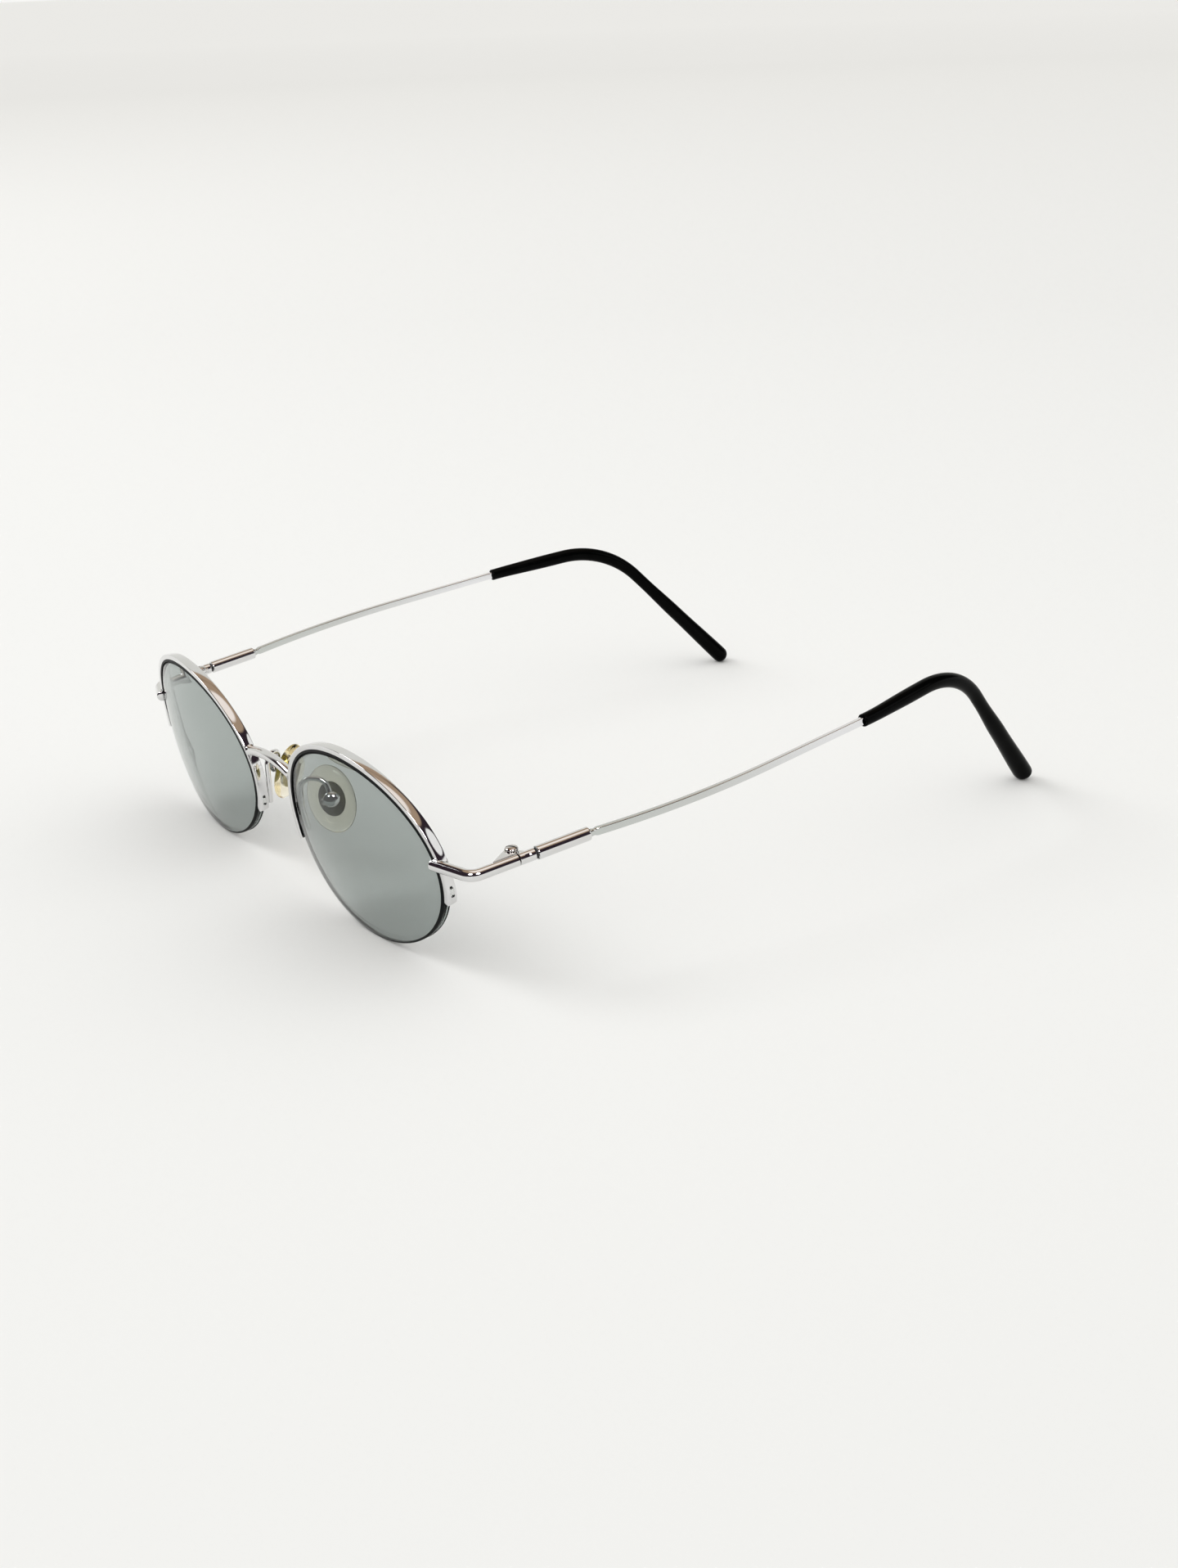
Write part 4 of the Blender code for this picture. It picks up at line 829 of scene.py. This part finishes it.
# %% Hinge screw
seat = ear_top + fit
head_radius, head_height, head_rim = 1.15 * mm, 0.55 * mm, 0.20
slot_width, slot_depth = 0.30 * mm, 0.25 * mm
profile = [(screw_radius, -ear_top), (screw_radius, seat)]
profile += [(head_radius - 0.06 * mm, seat), (head_radius, seat + 0.05 * mm)]
for turn in map(radians, (0, 15, 30, 45, 60, 72, 82, 88)):
    dome = head_rim + (1 - head_rim) * sin(turn)
    profile.append((head_radius * cos(turn) ** 0.8, seat + head_height * dome))
screw = turned("hinge_screw", profile, 36)
low = (-2 * mm, -slot_width / 2, seat + head_height - slot_depth)
slot = slab("slot", low, (2 * mm, slot_width / 2, seat + 1 * mm))
cut_away(screw, set_in_place(slot, Matrix.Rotation(radians(35), 4, "Z")))
soften_edges(screw, 0.02 * mm, 1, 50)
finish_pair(screw, hinge_place, "front", steel, 40)

# %% [markdown]
# ## The link, the sleeve and what is in it
#
# The temple is sprung. Its hinge link has a round stub, and the stub's plunger runs into a sleeve
# that a spring pulls back. The gap left between the stub and the long sleeve is the dark ring, and
# the bush in the sleeve's mouth is painted nearly black as its shade. The stub is turned, cleared
# round the ears, and given the small pocket high on its outer side.

# %% Hinge link
plunger_radius, plunger_length = 0.45 * mm, 7.4 * mm
stub_start = seam_gap / 2
stub_end = stub_start + 2.85 * mm
axis_at = (offset, 0, 0)
stub = turned("hinge_link", [
    (rod_radius - seam_chamfer, stub_start), (rod_radius, stub_start + seam_chamfer),
    (rod_radius, stub_end - seam_chamfer), (rod_radius - seam_chamfer, stub_end),
    (plunger_radius, stub_end), (plunger_radius, stub_end + plunger_length)], 40, "Y", axis_at)
eye_half = eye_thickness / 2
for low, high in ((eye_half, 1.6 * mm), (-1.6 * mm, -eye_half)):
    cut_away(stub, bar("clearance", swing, low, high, 40))
pocket_middle, pocket_half, pocket_side = (stub_start + stub_end) / 2, 0.55 * mm, 0.21 * mm
pocket = slab("pocket", (-pocket_side, pocket_middle - pocket_half, rod_radius - 0.3 * mm),
              (pocket_side, pocket_middle + pocket_half, rod_radius + 0.5 * mm))
pocket_turn = Matrix.Rotation(radians(50), 4, "Y")
cut_away(stub, set_in_place(pocket, Matrix.Translation(axis_at) @ pocket_turn))
neck_back = stub_start + 2.35 * mm
foot = Vector((offset - rod_radius / 2, neck_back))
leaving = atan2(foot.y, foot.x) + acos(ear_radius / foot.length)
tangent = (ear_radius * cos(leaving), ear_radius * sin(leaving))
outline = [(0, stub_start), (offset, stub_start), (offset, neck_back), tuple(foot), tangent]
neck = plate("neck", outline, -eye_half, eye_half)
eye = bar("eye", ear_radius, -eye_half, eye_half, 40)
link = fuse(stub, fuse(eye, neck))
cut_away(link, bar("bore", screw_radius + 0.06 * mm, -2 * mm, 2 * mm))
finish_pair(link, hinge_place, "link_side", chrome, 32)

# %% Spring sleeve
ring_gap, end_wall = 0.45 * mm, 0.85 * mm
sleeve_start = stub_end + ring_gap
sleeve_end = sleeve_start + 9.8 * mm
sleeve_radius, sleeve_bore, tenon_bore = 1.18 * mm, 0.90 * mm, 0.49 * mm
rounding = (0.10 * mm, 0), (0.03 * mm, 0.03 * mm), (0, 0.10 * mm), (0, 0.25 * mm)
profile = [(sleeve_bore, sleeve_start)]
profile += [(sleeve_radius - inward, sleeve_start + along) for inward, along in rounding]
profile += [(sleeve_radius - inward, sleeve_end - along) for inward, along in reversed(rounding)]
profile += [(tenon_bore, sleeve_end), (tenon_bore, sleeve_end - end_wall)]
profile += [(sleeve_bore, sleeve_end - end_wall)]
sleeve = turned("spring_sleeve", profile, 40, "Y", axis_at, ends="joined")
finish_pair(sleeve, hinge_place, "temple_side", chrome, 32)

# %% Pieces inside that keep their plain solids
# The sleeve bush takes the nearly black steel, painted shade in the ring gap.
kept = {"plunger_nut": steel, "flex_spring": steel, "sleeve_bush": bush_painted_shade, "pad_core": olive_core}
for part, finish in kept.items():
    for side in ("left", "right"):
        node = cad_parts[f"{part}_{side}"]
        node.data.materials.clear()
        node.data.materials.append(finish.material)
        make_active(node)
        bpy.ops.object.shade_smooth_by_angle(angle=radians(40))
print("kept solids:", ", ".join(kept))

# %% [markdown]
# ## The temple wire
#
# Behind the sleeve a short round neck flattens into a strip, 1.4 mm high and about 1 mm thick. It
# bows outward a little, runs straight to the tip, and goes on inside it as a round core. The line
# of its middle is bent round three corners, and the section changes from round to flat on the way.

# %% Temple line
def heading(inward, down):
    """A direction from the sleeve's, turned towards the head and then down."""
    a, b = radians(inward), radians(down)
    return Vector((-sin(a) * cos(b), cos(a) * cos(b), -sin(b)))


bow_radius = 135 * mm
root = Vector((offset, sleeve_end + fit, 0))
bow = root + heading(-7.2, 0) * (0.59 * mm + bow_radius * tan(radians(7.6)))
tip_corner = bow + heading(8.0, 0) * 43.5 * mm
ear_corner = tip_corner + heading(13.5, 0) * 25.05 * mm
leg, tip_end_width, floor_under = heading(22.7, 52.1), 1.75 * mm, 0.0203 * mm
height = (hinge_place @ ear_corner).z + floor_under - tip_end_width
leg_end = ear_corner + leg * height / -(hinge_place.to_3x3() @ leg).z
corners, radii = (root, bow, tip_corner, ear_corner, leg_end), (bow_radius, 50 * mm, 21 * mm)
temple_line = bent_line(corners, radii, 1.2)
temple_marks = distances_along(temple_line)
tip_mouth = (bow - root).length + 40.5 * mm
print(f"temple: {temple_marks[-1] / mm:.1f} mm from the sleeve to the end")
print(f"tip: starts at {tip_mouth / mm:.1f} mm")

# %% Temple wire
blade_height, blade_thickness, blade_round = 1.38 * mm, 0.96 * mm, 0.20 * mm
strip = []
for sx, sy, begin in ((1, 1, 0), (-1, 1, 90), (-1, -1, 180), (1, -1, 270)):
    for k in range(6):
        turn = radians(begin + 18 * k)
        strip.append((sx * (blade_thickness / 2 - blade_round) + blade_round * cos(turn),
                      sy * (blade_height / 2 - blade_round) + blade_round * sin(turn)))
strip_turns = [atan2(b, a) for a, b in strip]
neck_radius, neck_end, blade_start = 0.66 * mm, 0.85 * mm, 1.55 * mm
tenon_radius, core_radius = 0.44 * mm, 0.50 * mm


def ease(share):
    """A smooth step: it starts and ends level."""
    return share * share * (3 - 2 * share)


def wire_section(distance):
    """Round in the sleeve and the tip, a rounded strip between them, and blended near the sleeve."""
    if distance < 0.1 * mm or distance > tip_mouth - fit:
        radius = tenon_radius if distance < 0.1 * mm else core_radius
        return [(-radius * cos(t), radius * sin(t)) for t in strip_turns]
    share = ease(min(1.0, max(0.0, (distance - neck_end) / (blade_start - neck_end))))
    radius = neck_radius - 0.08 * mm * min(1.0, max(0.0, (distance - 0.5 * mm) / (0.35 * mm)))
    rounded = [(radius * cos(t), radius * sin(t)) for t in strip_turns]
    return [(a + (c - a) * share, b + (d - b) * share) for (a, b), (c, d) in zip(rounded, strip)]


stations = [d * mm for d in (-0.8, 0, 0.2, 0.35, 0.5, 0.7, 0.85, 1.0, 1.15, 1.3)]
stations += spread(temple_marks, blade_start, tip_mouth - 1.5 * fit, 1.4 * mm)
stations += [tip_mouth, *spread(temple_marks, tip_mouth + 0.5 * mm, tip_mouth + 20 * mm, 2.5 * mm)]
wire = sweep("temple_wire", temple_line, stations, wire_section, upright=True)
finish_pair(wire, hinge_place, "temple_side", satin, 50)

# %% [markdown]
# ## The black tip
#
# The tip is a soft plastic sleeve that is pushed onto the wire: blunt in front, fuller in the
# middle, drawn in at the bend, and wider and thicker at the end that lies behind the ear. Six pairs
# of half sizes along it and a smooth step between them give that shape.

# %% Temple tip
tip_length, mouth_round = temple_marks[-1] - tip_mouth, 0.22 * mm
tip_stops = ((0.00, 1.18, 1.18), (0.22, 1.40, 1.40), (0.38, 1.40, 1.40),
             (0.60, 1.28, 1.28), (0.76, 1.50, 1.68), (1.00, 1.75, 2.00))


def tip_size(share):
    """Half width and half thickness by the share of the tip's length."""
    for near, far in zip(tip_stops, tip_stops[1:]):
        if share <= far[0]:
            k = ease((share - near[0]) / (far[0] - near[0]))
            return tuple((near[i] + (far[i] - near[i]) * k) * mm for i in (1, 2))
    return tuple(half * mm for half in tip_stops[-1][1:])


def tip_section(distance):
    width, thickness = tip_size((distance - tip_mouth) / tip_length)
    before = max(0.0, 1 - (distance - tip_mouth) / mouth_round)
    drawn_in = mouth_round * (1 - sqrt(max(0.0, 1 - before ** 2)))
    past = max(0.0, (distance - temple_marks[-1]) / tip_end_width)
    scale = sqrt(max(0.0, 1 - past * past))
    width, thickness = (width - drawn_in) * scale, (thickness - drawn_in) * scale
    return round_section(width, 36, thickness / width)


stations = [tip_mouth + mouth_round * s for s in (0.0, 0.15, 0.4, 0.7)]
stations += spread(temple_marks, tip_mouth + mouth_round, temple_marks[-1], 1.2 * mm)
closing = (0.2, 0.38, 0.54, 0.68, 0.80, 0.89, 0.95, 0.985, 0.998)
stations += [temple_marks[-1] + tip_end_width * share for share in closing]
tip = sweep("temple_tip", temple_line, stations, tip_section, upright=True)
bore_section = round_section(0.80 * mm, 24)
bore_line = [spot_on(temple_line, temple_marks, tip_mouth + d * mm)[0] for d in (-1.0, 0.9)]
cut_away(tip, sweep("bore", bore_line, [0, 1.9 * mm], lambda distance: bore_section, upright=True))
finish_pair(tip, hinge_place, "temple_side", black_tip, 45)

# %% [markdown]
# ## The nose pads and what carries them
#
# A thin wire climbs the back of the rim's nose lug, goes over in a small arch and comes down to a
# little drum. The drum holds the tongue of the pad's core on a screw, so that the pad can rock. The
# pad is moulded round the core's plate. It is an oval, crowned towards the nose.

# %% Pad frame and arm
splay, flare, pad_tilt = 27, 20, radians(13)
outward, rearward = towards(90 - splay, flare), towards(180 - splay, 0)
pad_turn = Matrix((outward, rearward, outward.cross(rearward))).transposed().to_4x4()
pad_spot = Matrix.Translation(Vector((10.8769, -62.3816, 17.5121)) * mm)
pad_place = pad_spot @ pad_turn @ Matrix.Rotation(pad_tilt, 4, "X")
box_radius, screw_seat = 1.4 * mm, 0.12 * mm
arm_radius, foot_round = 0.48 * mm, 0.2 * mm
behind = rim_front + rim_depth + fit + arm_radius
foot, knee = (lens_place @ lens_edge(angle, rim_gap + rim_wall / 2, behind) for angle in (197, 184))
top = pad_place @ Vector((screw_seat, 0, box_radius - screw_seat + fit))
arch_back = top + pad_place.to_3x3() @ Vector((0, 0, 2.35 * mm))
arch_front = Vector((knee.x, knee.y, arch_back.z + 0.6 * mm))
arm_line = bent_line((foot, knee, arch_front, arch_back, top), (4.0 * mm, 1.95 * mm, 2.3 * mm), 6)
marks = distances_along(arm_line)


def arm_section(distance):
    rounded = max(0.0, 1 - distance / foot_round) ** 2
    return round_section(arm_radius - foot_round * rounded, 20)


stations = [0, 0.05 * mm, 0.12 * mm, *spread(marks, foot_round, marks[-1] + 0.1 * mm, 0.6 * mm)]
arm = sweep("pad_arm", arm_line, stations, arm_section)
finish_pair(arm, Matrix(), "front", chrome, 45)

# %% Pad box
box_front, box_dome, box_chamfer = 1.1 * mm, 0.6 * mm, 0.05 * mm
profile = [(box_radius - box_chamfer, -box_front), (box_radius, -box_front + box_chamfer)]
for turn in map(radians, (0, 12, 24, 36, 48, 60, 72, 82, 88)):
    profile.append((box_radius * cos(turn) ** 0.9, box_front + box_dome * sin(turn)))
box = turned("pad_box", profile, 40, "X")
tongue_half, tall = 0.50 * mm, box_radius - 0.25 * mm
cut_away(box, slab("slot", (-2 * mm, -tongue_half, -tall), (0.95 * mm, tongue_half, tall)))
cut_away(box, bar("bore", 0.40 * mm, -2 * mm, 2 * mm, 20, "Y"))
seat = screw_seat - box_radius
cut_away(box, bar("spot", 0.67 * mm, seat - 1 * mm, seat, 28, "Y"))
cut_away(box, slab("flat", (-2 * mm, -2 * mm, -seat), (3 * mm, 2 * mm, 3 * mm)))
soften_edges(box, 0.03 * mm, 2, 40)
finish_pair(box, pad_place, "front", chrome, 32)

# %% Pad screw
head, shank = seat - fit, 0.35 * mm
dome = ((0.55, 0.38), (0.80, 0.34), (0.95, 0.26), (1.0, 0.15), (1.0, 0))
profile = [(0.62 * share * mm, head - rise * mm) for share, rise in dome]
screw = turned("pad_screw", [*profile, (shank, head), (shank, box_radius - 0.06 * mm)], 28, "Y")
low, high = (-1 * mm, head - 1 * mm, -0.11 * mm), (1 * mm, head - 0.23 * mm, 0.11 * mm)
cut_away(screw, slab("slot", low, high))
finish_pair(screw, pad_place, "front", steel, 40)

# %% Nose pad
pad_height, pad_width, pad_thickness = 12.4 * mm, 8.0 * mm, 1.6 * mm
pad_back, widest, swell = -1.96 * mm, 0.32, 2.6
pocket_height, pocket_width, pocket_depth = 6.5 * mm, 4.6 * mm, 0.75 * mm


def pad_ring(depth, height, width, sides=64):
    turns = [2 * pi * i / sides for i in range(sides)]
    x = pad_back - depth
    return [Vector((x, width / 2 * cos(turn), height / 2 * sin(turn))) for turn in turns]


def crown(share):
    """How full the pad is by the share of its thickness: full where it is widest."""
    if share > widest:
        return (1 - ((share - widest) / 0.68) ** swell) ** (1 / swell)
    return 1 - 0.12 * ((widest - share) / widest) ** 2


shares = [0.995 - 0.675 * (i / 14) ** 1.6 for i in range(15)] + [0.24, 0.16, 0.09, 0.04, 0.0]
rings = [pad_ring(pad_thickness * s, pad_height * crown(s), pad_width * crown(s)) for s in shares]
rings += [pad_ring(depth, pocket_height, pocket_width) for depth in (0, pocket_depth)]
pad = loft("nose_pad", rings)
finish_pair(pad, pad_place, "pad_side", silicone, 50)

# %% [markdown]
# ## Table, room and light
#
# The glasses stand on a pale table that runs on to the horizon, in a bright, even room. One large
# soft lamp from the side gives the faint shadows. Chrome shows only what is around it, so a painted
# room stands round the table, seen in reflections and through the lenses: white low down, a dark
# band above that, a warm ceiling, a white patch and two bright lamps. The band draws the black line
# along every tube.

# %% Table
deselect_all()
bpy.ops.mesh.primitive_grid_add(x_subdivisions=8, y_subdivisions=8, size=40)
table = bpy.context.object
table.name = "table"
paper = Finish("pale_table", Roughness=0.9, Specular_IOR_Level=0.1)
distance = paper.node("ShaderNodeVectorMath", {"operation": "LENGTH"}, {0: paper.place}, "Value")
# The table's colour changes with distance from the glasses as painted light: it dips to its darkest at
# about 0.65 m and is brightest far off.
away = 0.2 * distance + 0.01 * paper.noise(2.0, 1.0)
whites_with_painted_falloff = ((0.01, (0.845, 0.845, 0.832)), (0.045, (0.822, 0.824, 0.812)), (0.13, (0.795, 0.795, 0.782)),
          (0.50, (0.83, 0.825, 0.805)), (1.0, (0.89, 0.885, 0.865)))
paper.feed("Base Color", paper.ramp(away, *whites_with_painted_falloff))
table.data.materials.append(paper.material)
table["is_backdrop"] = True
print("table: 40 m across")

# %% Painted room for the reflections
room_radius = 3.0
deselect_all()
bpy.ops.mesh.primitive_uv_sphere_add(segments=64, ring_count=32, radius=room_radius)
walls = bpy.context.object
walls.name = "room_walls"
paint = Finish("room_paint", Base_Color=(0, 0, 0, 1), Roughness=1.0, Emission_Strength=1.0)


def lean(direction):
    """How far a spot on the wall lies in a direction: 1 right there, 0 square to it."""
    values = {0: paint.place, 1: direction / room_radius}
    return paint.node("ShaderNodeVectorMath", {"operation": "DOT_PRODUCT"}, values, "Value")


def edge(azimuth, elevation, start, end):
    """Black where the wall leans less than start, and white where it leans more than end."""
    return paint.ramp(lean(towards(azimuth, elevation)), (start, (0, 0, 0)), (end, (1, 1, 1)))


white, pale, black = (1.0, 1.0, 0.98), (0.80, 0.80, 0.76), (0.020, 0.010, 0.018)
cream, beige, lamp_glow = (1.08, 0.98, 0.90), (0.43, 0.31, 0.21), (20.0, 19.2, 20.0)
ceiling = (0.0, black), (0.82, black), (0.85, beige), (0.93, beige), (0.955, cream), (1.0, cream)
overhead = paint.ramp(lean(towards(-15, 96)), *ceiling)
near_side = paint.blend(edge(-15, 84, 0.09, 0.12), white, overhead)
bands = (0.0, pale), (0.68, pale), (0.72, beige), (0.89, beige), (0.93, cream), (1.0, cream)
far_side = paint.ramp(lean(towards(0, 90)), *bands)
picture = paint.blend(edge(-115, 0, 0.50, 0.60), near_side, far_side)
for azimuth, elevation, rim_of_spot, colour in (
        (136, 30, 0.964, white), (38, 42, 0.990, lamp_glow), (80, 42, 0.990, lamp_glow)):
    spot = edge(azimuth, elevation, rim_of_spot, rim_of_spot + 0.002)
    picture = paint.blend(spot, picture, colour)
paint.feed("Emission Color", picture)
walls.data.materials.append(paint.material)
for ray in ("camera", "diffuse", "shadow", "volume_scatter"):
    setattr(walls, f"visible_{ray}", False)
walls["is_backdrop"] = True
print("room walls: seen in reflections and through the lenses only")

# %% Room and lamp
world = bpy.data.worlds.new("room")
world.use_nodes = True
room = world.node_tree.nodes["Background"]
room.inputs["Color"].default_value = (1.0, 0.995, 0.98, 1)
room.inputs["Strength"].default_value = 0.93
scene.world = world
scene.view_settings.view_transform = "Standard"

lamp = bpy.data.objects.new("soft_lamp", bpy.data.lights.new("soft_lamp", "AREA"))
lamp.data.shape = "DISK"
lamp.data.size = 1.0
lamp.data.energy = 12.8
aim, ahead = Vector((0, 0, 10 * mm)), Vector((-back.x, -back.y, 0))
lamp.location = aim + 2 * (level * -0.80 + Vector((0, 0, 0.72)) + ahead * 0.25)
lamp.rotation_euler = (lamp.location - aim).to_track_quat("Z", "Y").to_euler()
scene.collection.objects.link(lamp)
print(f"lamp: {(lamp.location - aim).length:.2f} m away, {lamp.data.energy:.1f} W")

# %% [markdown]
# ## Closing measurement
#
# The fine pieces have to fill the same box as the plain solids. Both boxes are measured and
# printed.

# %% Measure and finish
fine_low, fine_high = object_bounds()
for name, *ends in zip("xyz", cad_low, cad_high, fine_low, fine_high):
    low, high, fine, finest = (end / mm for end in ends)
    print(f"{name}: solids {low:.2f} to {high:.2f}, fine pieces {fine:.2f} to {finest:.2f} mm")
